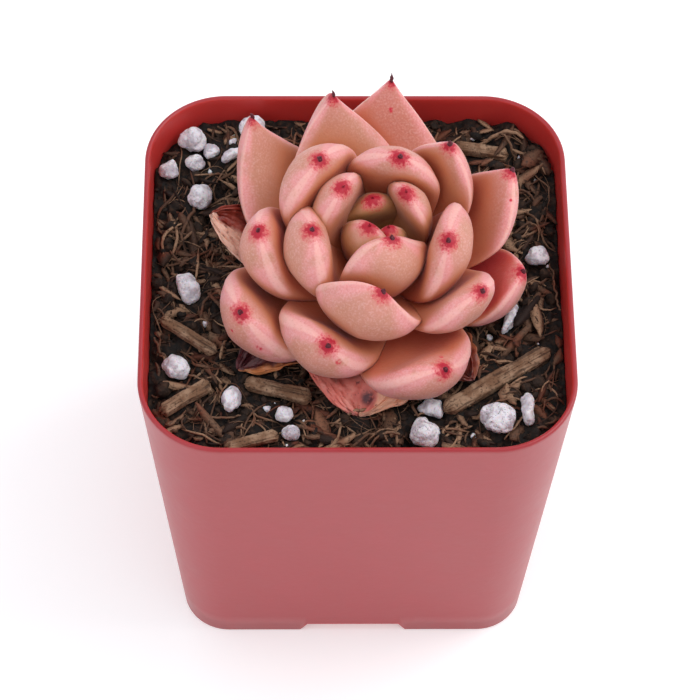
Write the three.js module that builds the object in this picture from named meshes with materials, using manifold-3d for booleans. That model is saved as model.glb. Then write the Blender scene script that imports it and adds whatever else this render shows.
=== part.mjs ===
// A rosette succulent with thick, incurved, pointed leaves, growing in potting soil
// in a small square nursery pot with rounded corners.
// Millimetres, +Z up. The origin is the centre of the pot's base, on the surface it stands on.
import * as THREE from 'three';
import { mergeVertices } from 'three/addons/utils/BufferGeometryUtils.js';
import Module from 'manifold-3d';

const wasm = await Module();
wasm.setup();

// Driving dimensions of the pot
const POT_HEIGHT = 64.3;
const RIM_HALF_WIDTH = 32;
const RIM_CORNER_RADIUS = 12.3;
const BASE_HALF_WIDTH = 27.2;
const BASE_CORNER_RADIUS = 7.3;
const WALL = 0.8;
const RIM_EDGE = 0.25;
const FLOOR_UNDERSIDE = 2.3;
const FLOOR_THICKNESS = 1.2;
const NOTCH_TOP_WIDTH = 14.6;
const NOTCH_FOOT_WIDTH = 17;
const DRAIN_RADIUS = 3;
const DRAIN_OFFSET = 13;
const NOTCH_DEPTH = 4;
const NOTCH_START = 2.5;
const CORNER_STEPS = 5;
const DRAIN_SIDES = 16;
// How far a cut reaches past the surface it opens
const PAST = 2;

// Driving dimensions of the soil
const SOIL_LEVEL = 59;
const SOIL_EDGE_DEPTH = 4;
const SOIL_RINGS = 10;
const SOIL_SIDE_STEPS = 5;
const HOLLOW_DEPTH = 3.2;
const HOLLOW_INNER = 14;
const HOLLOW_OUTER = 22;
const BANK_HEIGHT = 0.9;
const BANK_START = 12;
const BANK_END = 30;
// Clearance between neighbouring pieces
const GAP = 0.3;

// Driving dimensions of the rosette
const ROSETTE_X = 3.5;
const ROSETTE_Y = 1;
const FIRST_HEADING = 134;
const SPIRAL_TURN = -138.4;
const LAST_PLACE = 22;
const STEM_RADIUS = 2.7;
const STEM_FOOT_RADIUS = 1.8;
const STEM_FOOT = 45;
const STEM_TOP = 66.8;
const STEM_SHOULDER_RISE = 2;
const STEM_NECK_RISE = 5.5;
const STEM_NECK_SHARE = 0.6;
const STEM_TIP_SHARE = 0.25;
const STEM_SIDES = 12;
const OUTER_ROOT_RADIUS = 3.2;
const INNER_ROOT_RADIUS = 0.8;
const OUTER_ROOT_RISE = 1.5;
const INNER_ROOT_RISE = 7.5;
const OUTER_ROOT_SLOPE = 4;
const INNER_ROOT_SLOPE = 50;
const ROOT_SLOPE_POWER = 0.9;

// Shape of one leaf, as shares of its length measured from the tip
const ROOT_WIDTH_SHARE = 0.5;
const THICKEST_AT = 0.38;
const ROOT_THINNING = 0.3;
const MIDRIB_PULL = 0.42;
const LEAF_STEPS = 8;
const LEAF_SIDES = 10;
const TIP_CROWDING = 1.6;
const BELLY_POWER = 1.05;
const OUTER_CUP = 0.06;
const FACE_FADE_START = 0.15;
const FACE_FADE_END = 0.6;

// How a leaf swells from its tip: where it is widest, how its shoulders curve, and where its upper
// face is full, how it rises to that, how flat it is across and how far it thins towards the root
const POINTED = {
  widestAt: 0.5, shoulderPower: 1.65, bluntness: 1.12,
  faceFullAt: 0.38, faceRise: 0.9, facePower: 1.05, faceFade: 0,
};
const BLUNT = {
  widestAt: 0.4, shoulderPower: 2, bluntness: 0.62,
  faceFullAt: 0.15, faceRise: 0.6, facePower: 0.6, faceFade: 0.45,
};
const HOODED = {
  widestAt: 0.42, shoulderPower: 1.9, bluntness: 0.85,
  faceFullAt: 0.15, faceRise: 0.6, facePower: 0.7, faceFade: 0.45,
};
const SHRUNKEN = {
  widestAt: 0.35, shoulderPower: 1.9, bluntness: 0.65,
  faceFullAt: 0.38, faceRise: 0.9, facePower: 1.05, faceFade: 0,
};

// Leaves from this place on take the paler colour of the heart
const HEART_FROM_PLACE = 16;

// Each live leaf, from the lowest to the heart. place counts along the spiral, reach and rise put
// the tip out from the rosette's axis and above the soil, curl is the slope of the midrib at the
// tip, belly and face are how thick it is below and above the margins, stray is how far its tip
// stands off the spiral in degrees, sweep turns the tip sideways from the body of the leaf, and
// roll turns the leaf about its own midrib. What an entry leaves out comes from USUAL_LEAF.
const USUAL_LEAF = { stray: 0, sweep: 0, roll: 0, face: 2.6, tip: BLUNT };
const LEAVES = [
  {
    place: 0, reach: 27.8, rise: 15.4, width: 16.5, curl: 64,
    belly: 5, sweep: -6, face: 1.9, tip: POINTED,
  },
  { place: 1, reach: 21.8, rise: 9.8, width: 13.5, curl: 58, belly: 4, stray: -8, sweep: 3, face: 1.4 },
  {
    place: 2, reach: 24.4, rise: 11.4, width: 17.2, curl: 72,
    belly: 5.2, stray: -5.5, sweep: 4, face: 2.8,
  },
  {
    place: 3, reach: 25.6, rise: 17.6, width: 19, curl: 66,
    belly: 5, stray: 7, sweep: -3, face: 1.9, tip: POINTED,
  },
  {
    place: 4, reach: 23.9, rise: 10.2, width: 16.4, curl: 69,
    belly: 4.4, stray: -8, sweep: 8, roll: 4,
  },
  {
    place: 6, reach: 21.5, rise: 17.2, width: 13.8, curl: 64,
    belly: 3.4, sweep: 5, face: 1.5, tip: HOODED,
  },
  {
    place: 7, reach: 21.4, rise: 13.4, width: 15.4, curl: 79,
    belly: 4.6, stray: 3, sweep: 9, roll: -8, face: 2.8,
  },
  {
    place: 8, reach: 21, rise: 20.8, width: 16, curl: 80,
    belly: 5, stray: 2.5, sweep: -3, face: 1.9, tip: POINTED,
  },
  { place: 9, reach: 19.1, rise: 16.3, width: 13.4, curl: 76, belly: 2.9, stray: -9, sweep: 5 },
  { place: 10, reach: 18.2, rise: 17.4, width: 15.2, curl: 84, belly: 4.8, stray: -2 },
  {
    place: 11, reach: 14.8, rise: 20.8, width: 13, curl: 84,
    belly: 3.8, stray: -5, face: 1.3, tip: HOODED,
  },
  {
    place: 12, reach: 14.4, rise: 19.5, width: 15.8, curl: 97,
    belly: 4.8, stray: -3, sweep: 13, roll: -8, face: 0.7,
  },
  { place: 13, reach: 11.3, rise: 21.6, width: 16, curl: 108, belly: 4.6, stray: 6, sweep: -2 },
  {
    place: 14, reach: 11, rise: 19.4, width: 15.6, curl: 92,
    belly: 3.8, stray: -27, sweep: -12, roll: 6,
  },
  { place: 15, reach: 10.9, rise: 20.5, width: 15, curl: 101, belly: 4.4, stray: -14, roll: -12 },
  {
    place: 16, reach: 8, rise: 21.7, width: 13.8, curl: 105,
    belly: 3.8, stray: -9.5, sweep: -9, face: 2.4,
  },
  {
    place: 17, reach: 6.1, rise: 20.8, width: 14.2, curl: 110,
    belly: 4.4, stray: -18, sweep: 15, roll: 30, face: 2,
  },
  {
    place: 18, reach: 5.9, rise: 21.4, width: 12.2, curl: 108,
    belly: 3.4, stray: -6, roll: -6, face: 2,
  },
  { place: 19, reach: 4.2, rise: 20.2, width: 9.6, curl: 100, belly: 3, stray: 9, face: 1.5 },
  { place: 20, reach: 2.9, rise: 18.6, width: 8.8, curl: 98, belly: 3, stray: -12, face: 1.6 },
  { place: 21, reach: 3.7, rise: 17.2, width: 8.8, curl: 84, belly: 3, stray: 2, face: 1.5 },
  { place: 22, reach: 2.1, rise: 17.4, width: 5.5, curl: 95, belly: 2.2, stray: -32, face: 1.2 },
];

// Leaves that have dried up under the rosette. heading is in degrees, and wave is how far the
// shrunken blade ripples up and down.
const DRY_LEAVES = [
  { side: 'front', heading: 262, reach: 24.4, rise: 1.2, width: 18.6, slope: -2, curl: -12, wave: 0.5 },
  { side: 'left', heading: 163, reach: 26.2, rise: 6.6, width: 10.5, slope: 2, curl: 34, wave: 0.3 },
  { side: 'right', heading: 306, reach: 22.6, rise: 1.6, width: 9, slope: -2, curl: 0, wave: 0.4 },
  { side: 'near_left', heading: 218, reach: 26.5, rise: 1.4, width: 9, slope: -2, curl: 0, wave: 0.4 },
];
const DRY_ROOT_DROP = 1;
const DRY_BELLY = 1.1;
const DRY_FACE = 0.7;
const DRY_CUP = 0.05;
const WAVES_ALONG = 17;
const WAVES_ACROSS = 5;
const WAVE_SLANT = 9;

// Bark chips lying on the soil: centre, length, width, thickness, turn and slope in degrees
const CHIPS = [
  { x: 20.6, y: -16.6, long: 20, wide: 3.4, thick: 1.8, turn: 34, slope: -3 },
  { x: -11.6, y: -18.6, long: 10.6, wide: 2.8, thick: 1.6, turn: -18, slope: 2 },
  { x: -24.8, y: -9.4, long: 10.6, wide: 2, thick: 1.4, turn: -36, slope: 0 },
  { x: -25.2, y: -20, long: 9, wide: 2.4, thick: 1.4, turn: 32, slope: 3 },
  { x: -15.4, y: -27.4, long: 8.5, wide: 1.8, thick: 1.2, turn: 16, slope: 0 },
  { x: 19.5, y: 24.6, long: 9, wide: 2.2, thick: 1.4, turn: -12, slope: 0 },
];
const CHIP_LIFT = 0.4;
const CHIP_SUNK_SHARE = 0.45;

// White perlite grains: centre, the three widths, and turn in degrees
const GRAINS = [
  { x: -25, y: 26.2, size: [4.2, 4.2, 3.8], turn: 10 },
  { x: -15.7, y: 28, size: [4.4, 4, 3.6], turn: 80 },
  { x: -28.4, y: 20.8, size: [3, 3.6, 2.8], turn: 0 },
  { x: -24.6, y: 22.4, size: [3, 3, 2.6], turn: 40 },
  { x: -22, y: 24.6, size: [2.6, 2.8, 2.4], turn: 100 },
  { x: -18.6, y: 23.4, size: [4.6, 2, 2], turn: 35 },
  { x: -23.6, y: 15.5, size: [4, 3.6, 3.2], turn: -30 },
  { x: -25, y: -0.6, size: [3.2, 5, 3], turn: 15 },
  { x: -26.6, y: -14.6, size: [3.4, 5.2, 3.2], turn: 30 },
  { x: -18.4, y: -20.8, size: [3, 4, 3.2], turn: -10 },
  { x: -10.7, y: -22.8, size: [2.8, 2.8, 2.6], turn: 0 },
  { x: -9.7, y: -26, size: [2.6, 2.6, 2.2], turn: 50 },
  { x: 9.8, y: -26, size: [4.4, 5, 4.6], turn: 15 },
  { x: 10.8, y: -21.2, size: [3.8, 3.2, 2.8], turn: -20 },
  { x: 20.2, y: -24, size: [5.8, 4.2, 3.6], turn: -15 },
  { x: 25, y: -22.2, size: [1.8, 5.6, 2.8], turn: 0 },
  { x: 27.4, y: 5, size: [3.2, 3.8, 3], turn: 20 },
  { x: 22.8, y: -5.8, size: [2.2, 5.4, 2.8], turn: -25 },
];
const GRAIN_LIFT_SHARE = 0.18;
const GRAIN_LUMPINESS = 0.09;

// Materials
const potPlastic = new THREE.MeshStandardMaterial({ color: 0xaf5a5f, roughness: 0.42, metalness: 0 });
const soilMix = new THREE.MeshStandardMaterial({ color: 0x3b2c24, roughness: 0.95, metalness: 0 });
const stemBark = new THREE.MeshStandardMaterial({ color: 0x8a6a4e, roughness: 0.8, metalness: 0 });
const leafSkin = new THREE.MeshStandardMaterial({ color: 0xdea08c, roughness: 0.55, metalness: 0 });
const heartSkin = new THREE.MeshStandardMaterial({ color: 0xc4a184, roughness: 0.55, metalness: 0 });
const dryLeaf = new THREE.MeshStandardMaterial({ color: 0xa8605a, roughness: 0.75, metalness: 0 });
const bark = new THREE.MeshStandardMaterial({ color: 0x8c7055, roughness: 0.9, metalness: 0 });
const perlite = new THREE.MeshStandardMaterial({ color: 0xe4dfe0, roughness: 0.9, metalness: 0 });

// Going between meshes and solids

function weld(geometry) {
  const bare = geometry.clone();
  bare.deleteAttribute('normal');
  bare.deleteAttribute('uv');
  return mergeVertices(bare, 1e-4);
}

function toSolid(geometry) {
  const welded = weld(geometry);
  return new wasm.Manifold(new wasm.Mesh({
    numProp: 3,
    vertProperties: Float32Array.from(welded.attributes.position.array),
    triVerts: Uint32Array.from(welded.index.array),
  }));
}

function toGeometry(solid) {
  const mesh = solid.getMesh();
  const geometry = new THREE.BufferGeometry();
  geometry.setAttribute('position', new THREE.BufferAttribute(mesh.vertProperties, 3));
  geometry.setIndex(new THREE.BufferAttribute(mesh.triVerts, 1));
  geometry.computeVertexNormals();
  return geometry;
}

// A mesh moved outwards everywhere by a clearance
function grown(geometry, clearance) {
  const welded = weld(geometry);
  welded.computeVertexNormals();
  const position = welded.attributes.position;
  const normal = welded.attributes.normal;
  const point = new THREE.Vector3();
  const out = new THREE.Vector3();
  for (let i = 0; i < position.count; i += 1) {
    point.fromBufferAttribute(position, i);
    out.fromBufferAttribute(normal, i);
    point.addScaledVector(out, clearance);
    position.setXYZ(i, point.x, point.y, point.z);
  }
  return welded;
}

// The largest piece of a solid, once scraps that a cut has parted from it are dropped
function largestPiece(solid) {
  const pieces = solid.decompose();
  return pieces.reduce((best, piece) => (piece.volume() > best.volume() ? piece : best));
}

// A closed skin over rings of points, each ring turning counterclockwise seen from the last ring.
// The two ends close on a point of their own.
function loft(rings, firstEnd, lastEnd) {
  const sides = rings[0].length;
  const points = [firstEnd, ...rings.flat(), lastEnd];
  const faces = [];
  for (let j = 0; j < sides; j += 1) {
    const next = (j + 1) % sides;
    faces.push(0, 1 + next, 1 + j);
    for (let i = 0; i + 1 < rings.length; i += 1) {
      const low = 1 + i * sides;
      const high = low + sides;
      faces.push(low + j, low + next, high + next);
      faces.push(low + j, high + next, high + j);
    }
    const last = 1 + (rings.length - 1) * sides;
    faces.push(last + j, last + next, points.length - 1);
  }
  const geometry = new THREE.BufferGeometry().setFromPoints(points);
  geometry.setIndex(faces);
  return geometry;
}

// The pot

// A ring of points round a square with rounded corners, with extra points along its sides
function roundedSquare(halfWidth, cornerRadius, z, sideSteps) {
  const ring = [];
  const centre = halfWidth - cornerRadius;
  for (let corner = 0; corner < 4; corner += 1) {
    const start = corner * Math.PI / 2;
    const cx = centre * Math.SQRT2 * Math.cos(start + Math.PI / 4);
    const cy = centre * Math.SQRT2 * Math.sin(start + Math.PI / 4);
    for (let i = 0; i <= CORNER_STEPS; i += 1) {
      const angle = start + (i / CORNER_STEPS) * Math.PI / 2;
      const x = cx + cornerRadius * Math.cos(angle);
      const y = cy + cornerRadius * Math.sin(angle);
      ring.push(new THREE.Vector3(x, y, z));
    }
    const along = new THREE.Vector3(-Math.sin(start + Math.PI / 2), Math.cos(start + Math.PI / 2), 0);
    const last = ring[ring.length - 1];
    for (let i = 1; i < sideSteps; i += 1) {
      ring.push(last.clone().addScaledVector(along, (i / sideSteps) * 2 * centre));
    }
  }
  return ring;
}

// The pot's outline at a height, set in by a distance
function potRing(z, inset, sideSteps = 1) {
  const share = z / POT_HEIGHT;
  const halfWidth = THREE.MathUtils.lerp(BASE_HALF_WIDTH, RIM_HALF_WIDTH, share);
  const radius = THREE.MathUtils.lerp(BASE_CORNER_RADIUS, RIM_CORNER_RADIUS, share);
  return roundedSquare(halfWidth - inset, radius - inset, z, sideSteps);
}

function cappedLoft(rings) {
  const first = new THREE.Vector3(0, 0, rings[0][0].z);
  const last = new THREE.Vector3(0, 0, rings[rings.length - 1][0].z);
  return loft(rings, first, last);
}

function potGeometry() {
  const edge = POT_HEIGHT - RIM_EDGE;
  const body = toSolid(cappedLoft([potRing(0, 0), potRing(edge, 0), potRing(POT_HEIGHT, RIM_EDGE)]));
  const floorTop = FLOOR_UNDERSIDE + FLOOR_THICKNESS;
  const mouth = potRing(POT_HEIGHT, WALL - RIM_EDGE);
  const aboveMouth = mouth.map((point) => point.clone().setZ(POT_HEIGHT + PAST));
  const inside = toSolid(cappedLoft([potRing(floorTop, WALL), potRing(edge, WALL), mouth, aboveMouth]));
  const foot = potRing(0, WALL);
  const belowFoot = foot.map((point) => point.clone().setZ(-PAST));
  const recess = toSolid(cappedLoft([belowFoot, foot, potRing(FLOOR_UNDERSIDE, WALL)]));
  let pot = body.subtract(inside).subtract(recess);
  for (let side = 0; side < 4; side += 1) {
    pot = pot.subtract(toSolid(notchGeometry().rotateZ(side * Math.PI / 2)));
    const depth = FLOOR_THICKNESS + PAST;
    const drain = new THREE.CylinderGeometry(DRAIN_RADIUS, DRAIN_RADIUS, depth, DRAIN_SIDES);
    drain.rotateX(Math.PI / 2);
    drain.translate(DRAIN_OFFSET, DRAIN_OFFSET, FLOOR_UNDERSIDE + FLOOR_THICKNESS / 2);
    pot = pot.subtract(toSolid(drain.rotateZ(side * Math.PI / 2)));
  }
  return toGeometry(pot);
}

// The slanted gap in the middle of each side of the foot
function notchGeometry() {
  const outline = new THREE.Shape();
  outline.moveTo(-NOTCH_FOOT_WIDTH / 2, -PAST);
  outline.lineTo(NOTCH_FOOT_WIDTH / 2, -PAST);
  outline.lineTo(NOTCH_FOOT_WIDTH / 2, 0);
  outline.lineTo(NOTCH_TOP_WIDTH / 2, FLOOR_UNDERSIDE);
  outline.lineTo(-NOTCH_TOP_WIDTH / 2, FLOOR_UNDERSIDE);
  outline.lineTo(-NOTCH_FOOT_WIDTH / 2, 0);
  const cut = new THREE.ExtrudeGeometry(outline, { depth: NOTCH_DEPTH, bevelEnabled: false });
  cut.rotateX(Math.PI / 2);
  return cut.translate(0, NOTCH_START - BASE_HALF_WIDTH, 0);
}

// The stem

function stemGeometry(clearance) {
  const profile = [
    new THREE.Vector2(0, STEM_FOOT - clearance),
    new THREE.Vector2(STEM_FOOT_RADIUS + clearance, STEM_FOOT - clearance),
    new THREE.Vector2(STEM_RADIUS + clearance, SOIL_LEVEL - HOLLOW_DEPTH),
    new THREE.Vector2(STEM_RADIUS + clearance, SOIL_LEVEL + STEM_SHOULDER_RISE),
    new THREE.Vector2(STEM_NECK_SHARE * STEM_RADIUS + clearance, SOIL_LEVEL + STEM_NECK_RISE),
    new THREE.Vector2(STEM_TIP_SHARE * STEM_RADIUS + clearance, STEM_TOP + clearance),
    new THREE.Vector2(0, STEM_TOP + clearance),
  ];
  const stem = new THREE.LatheGeometry(profile, STEM_SIDES);
  stem.rotateX(Math.PI / 2);
  return stem.translate(ROSETTE_X, ROSETTE_Y, 0);
}

// The leaves

// A line from root to tip that leaves the root at one slope and meets the tip at another
function midribCurve(leaf, outward) {
  const up = new THREE.Vector3(0, 0, 1);
  const at = (out, z) => new THREE.Vector3(ROSETTE_X, ROSETTE_Y, z).addScaledVector(outward, out);
  const root = at(leaf.rootRadius, leaf.rootHeight);
  const tip = at(leaf.reach, leaf.tipHeight);
  const pull = MIDRIB_PULL * root.distanceTo(tip);
  const slope = THREE.MathUtils.degToRad(leaf.slope);
  const curl = THREE.MathUtils.degToRad(leaf.curl);
  const rootPull = root.clone().addScaledVector(outward, pull * Math.cos(slope));
  rootPull.addScaledVector(up, pull * Math.sin(slope));
  const tipPull = tip.clone().addScaledVector(outward, -pull * Math.cos(curl));
  tipPull.addScaledVector(up, -pull * Math.sin(curl));
  return new THREE.CubicBezierCurve3(root, rootPull, tipPull, tip);
}

// One ring of a leaf at q, the share of the length from the tip. The margins lie at the sides of
// the midrib, the belly below it and the face above it.
function leafRing(leaf, q, centre, across, above) {
  const half = leaf.width / 2 * shoulder(q, leaf.tip);
  const belly = leaf.belly * bellyShare(q);
  const face = leaf.face * faceShare(q, leaf.tip);
  const ring = [];
  for (let j = 0; j < LEAF_SIDES; j += 1) {
    const angle = (j / LEAF_SIDES) * 2 * Math.PI;
    const side = Math.cos(angle);
    const height = Math.sin(angle);
    const upper = face * Math.max(height, 0) ** leaf.tip.facePower;
    const lower = belly * Math.max(-height, 0) ** BELLY_POWER;
    const ripple = leaf.wave * Math.sin(WAVES_ACROSS * side + WAVE_SLANT * q + leaf.heading);
    const point = centre.clone().addScaledVector(across, half * side);
    ring.push(point.addScaledVector(above, upper - lower + leaf.cup * half * side ** 2 + ripple));
  }
  return ring.reverse();
}

// Rings along the midrib, from just behind the tip to the root, closed on the tip and the root
function leafGeometry(leaf) {
  const heading = THREE.MathUtils.degToRad(leaf.heading);
  const roll = THREE.MathUtils.degToRad(leaf.roll);
  const outward = new THREE.Vector3(Math.cos(heading), Math.sin(heading), 0);
  const sideways = new THREE.Vector3(-Math.sin(heading), Math.cos(heading), 0);
  const midrib = midribCurve(leaf, outward);
  const pull = midrib.v0.distanceTo(midrib.v1);
  const rings = [];
  for (let i = 1; i <= LEAF_STEPS; i += 1) {
    const q = (i / LEAF_STEPS) ** TIP_CROWDING;
    const centre = midrib.getPoint(1 - q).addScaledVector(sideways, leaf.sideStep * (1 - q) ** 3);
    centre.z += leaf.wave * Math.sin(WAVES_ALONG * q + leaf.heading);
    const forward = midrib.getTangent(1 - q);
    const lean = 3 * leaf.sideStep * (1 - q) ** 2 * MIDRIB_PULL / pull;
    const across = sideways.clone().addScaledVector(forward, -lean).normalize();
    const above = new THREE.Vector3().crossVectors(forward, sideways);
    const rolledAcross = across.clone().multiplyScalar(Math.cos(roll));
    rolledAcross.addScaledVector(above, Math.sin(roll));
    const rolledAbove = above.clone().multiplyScalar(Math.cos(roll));
    rolledAbove.addScaledVector(across, -Math.sin(roll));
    rings.push(leafRing(leaf, q, centre, rolledAcross, rolledAbove));
  }
  const tip = midrib.getPoint(1).addScaledVector(sideways, leaf.sideStep);
  tip.z += leaf.wave * Math.sin(leaf.heading);
  return loft(rings, tip, midrib.getPoint(0));
}

// Half of the plan width at a share of the length from the tip
function shoulder(q, tip) {
  if (q < tip.widestAt) {
    return (1 - (1 - q / tip.widestAt) ** tip.shoulderPower) ** tip.bluntness;
  }
  return 1 - (1 - ROOT_WIDTH_SHARE) * ((q - tip.widestAt) / (1 - tip.widestAt)) ** 2;
}

// How full the belly is there, blunt at the tip and a little thinner at the root
function bellyShare(q) {
  if (q < THICKEST_AT) {
    return (1 - (1 - q / THICKEST_AT) ** 2.4) ** 0.75;
  }
  return 1 - ROOT_THINNING * ((q - THICKEST_AT) / (1 - THICKEST_AT)) ** 2;
}

// How full the upper face is there
function faceShare(q, tip) {
  const rise = (1 - (1 - Math.min(q / tip.faceFullAt, 1)) ** 2) ** tip.faceRise;
  return rise * (1 - tip.faceFade * THREE.MathUtils.smoothstep(q, FACE_FADE_START, FACE_FADE_END));
}

// Fills in what follows from a leaf's place in the rosette
function liveLeaf(entry) {
  const leaf = { ...USUAL_LEAF, ...entry };
  const share = entry.place / LAST_PLACE;
  const sweep = THREE.MathUtils.degToRad(leaf.sweep);
  return {
    ...leaf,
    heading: FIRST_HEADING + SPIRAL_TURN * entry.place + leaf.stray - leaf.sweep,
    reach: entry.reach * Math.cos(sweep),
    sideStep: entry.reach * Math.sin(sweep),
    tipHeight: SOIL_LEVEL + entry.rise,
    rootRadius: THREE.MathUtils.lerp(OUTER_ROOT_RADIUS, INNER_ROOT_RADIUS, share),
    rootHeight: SOIL_LEVEL + THREE.MathUtils.lerp(OUTER_ROOT_RISE, INNER_ROOT_RISE, share),
    slope: THREE.MathUtils.lerp(OUTER_ROOT_SLOPE, INNER_ROOT_SLOPE, share ** ROOT_SLOPE_POWER),
    cup: THREE.MathUtils.lerp(OUTER_CUP, 0, share),
    wave: 0,
  };
}

// Fills in what the dried leaves share
function shrunkenLeaf(entry) {
  return {
    ...entry,
    sideStep: 0,
    tipHeight: SOIL_LEVEL + entry.rise,
    rootRadius: OUTER_ROOT_RADIUS,
    rootHeight: SOIL_LEVEL - DRY_ROOT_DROP,
    roll: 0,
    belly: DRY_BELLY,
    face: DRY_FACE,
    cup: DRY_CUP,
    tip: SHRUNKEN,
  };
}

// The soil and what lies on it

// The soil sinks under the rosette
function hollow(x, y) {
  const radius = Math.hypot(x - ROSETTE_X, y - ROSETTE_Y);
  return HOLLOW_DEPTH * (1 - THREE.MathUtils.smoothstep(radius, HOLLOW_INNER, HOLLOW_OUTER));
}

// Height of the soil's top: small lumps, a hollow at the stem and a low bank at the back
function soilHeight(x, y) {
  const broad = 0.5 * Math.sin(0.31 * x + 0.4) * Math.cos(0.27 * y - 0.8);
  const lumps = 0.38 * Math.sin(0.92 * x - 0.55 * y + 1.3) + 0.3 * Math.cos(0.7 * x + 1.06 * y);
  const bank = BANK_HEIGHT * THREE.MathUtils.smoothstep(y, BANK_START, BANK_END);
  return SOIL_LEVEL + broad + lumps + bank - hollow(x, y);
}

function soilGeometry() {
  const floorTop = FLOOR_UNDERSIDE + FLOOR_THICKNESS + GAP;
  const inset = WALL + GAP;
  const floorRing = potRing(floorTop, inset, SOIL_SIDE_STEPS);
  const rings = [floorRing, potRing(SOIL_LEVEL - SOIL_EDGE_DEPTH, inset, SOIL_SIDE_STEPS)];
  const edgeRing = potRing(SOIL_LEVEL, inset, SOIL_SIDE_STEPS);
  for (let i = 0; i < SOIL_RINGS; i += 1) {
    const share = 1 - i / SOIL_RINGS;
    rings.push(edgeRing.map((point) => {
      const x = point.x * share;
      const y = point.y * share;
      return new THREE.Vector3(x, y, soilHeight(x, y));
    }));
  }
  return loft(rings, new THREE.Vector3(0, 0, floorTop), new THREE.Vector3(0, 0, soilHeight(0, 0)));
}

// A split chip of bark: a long blade with ragged ends
function chipGeometry(chip) {
  const end = chip.long / 2;
  const side = chip.wide / 2;
  const outline = new THREE.Shape();
  outline.moveTo(-end, -0.5 * side);
  outline.lineTo(-0.84 * end, -side);
  outline.lineTo(0.1 * end, -0.9 * side);
  outline.lineTo(0.9 * end, -side);
  outline.lineTo(end, 0.2 * side);
  outline.lineTo(0.82 * end, 0.95 * side);
  outline.lineTo(-0.2 * end, 0.85 * side);
  outline.lineTo(-0.94 * end, 0.7 * side);
  const blade = new THREE.ExtrudeGeometry(outline, { depth: chip.thick, bevelEnabled: false });
  blade.translate(0, 0, -CHIP_SUNK_SHARE * chip.thick);
  blade.rotateY(THREE.MathUtils.degToRad(-chip.slope));
  blade.rotateZ(THREE.MathUtils.degToRad(chip.turn));
  return blade.translate(chip.x, chip.y, soilHeight(chip.x, chip.y) + CHIP_LIFT);
}

// A lumpy grain with blunt corners
function grainGeometry(grain, index) {
  const lump = weld(new THREE.IcosahedronGeometry(0.5, 1));
  const position = lump.attributes.position;
  const point = new THREE.Vector3();
  for (let i = 0; i < position.count; i += 1) {
    point.fromBufferAttribute(position, i);
    const lengthwise = Math.sin(5.1 * point.x + 2.3 * index);
    const slantwise = Math.sin(6.3 * point.y + 4 * point.z + 1.7 * index);
    point.multiplyScalar(1 + GRAIN_LUMPINESS * (lengthwise + slantwise));
    position.setXYZ(i, point.x, point.y, point.z);
  }
  lump.scale(...grain.size);
  lump.rotateZ(THREE.MathUtils.degToRad(grain.turn));
  const lift = GRAIN_LIFT_SHARE * grain.size[2];
  return lump.translate(grain.x, grain.y, soilHeight(grain.x, grain.y) + lift);
}

// Assembly. Every piece is cut back from the pieces placed before it, with a small gap.

const plant = new THREE.Group();
let placed = toSolid(stemGeometry(GAP));

function addMesh(name, geometry, material) {
  const mesh = new THREE.Mesh(geometry, material);
  mesh.name = name;
  plant.add(mesh);
}

function addCut(name, geometry, material) {
  const cut = largestPiece(toSolid(geometry).subtract(placed));
  addMesh(name, toGeometry(cut), material);
  placed = placed.add(toSolid(grown(geometry, GAP)));
}

addMesh('pot', potGeometry(), potPlastic);
addMesh('stem', stemGeometry(0), stemBark);

[...LEAVES].reverse().forEach((entry) => {
  const number = LEAVES.indexOf(entry) + 1;
  const skin = entry.place < HEART_FROM_PLACE ? leafSkin : heartSkin;
  addCut(`leaf_${number}`, leafGeometry(liveLeaf(entry)), skin);
});

DRY_LEAVES.forEach((entry) => {
  addCut(`dry_leaf_${entry.side}`, leafGeometry(shrunkenLeaf(entry)), dryLeaf);
});

CHIPS.forEach((chip, index) => addCut(`bark_chip_${index + 1}`, chipGeometry(chip), bark));

GRAINS.forEach((grain, index) => {
  addCut(`perlite_${index + 1}`, grainGeometry(grain, index), perlite);
});

const filling = toSolid(soilGeometry()).subtract(placed);
addMesh('soil', toGeometry(largestPiece(filling)), soilMix);

export default plant;
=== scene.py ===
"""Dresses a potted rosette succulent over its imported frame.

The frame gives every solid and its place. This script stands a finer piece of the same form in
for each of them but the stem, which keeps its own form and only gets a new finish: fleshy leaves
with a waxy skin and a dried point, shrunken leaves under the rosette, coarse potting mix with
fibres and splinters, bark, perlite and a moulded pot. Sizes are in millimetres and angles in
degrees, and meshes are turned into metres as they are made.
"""

import logging
import math
import random
from collections.abc import Callable, Iterable, Sequence
from dataclasses import dataclass, field
from enum import Enum
from typing import ClassVar

import bmesh
import bpy
import numpy as np
from mathutils import Matrix, Vector, interpolate, noise
from mathutils.bvhtree import BVHTree


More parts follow.
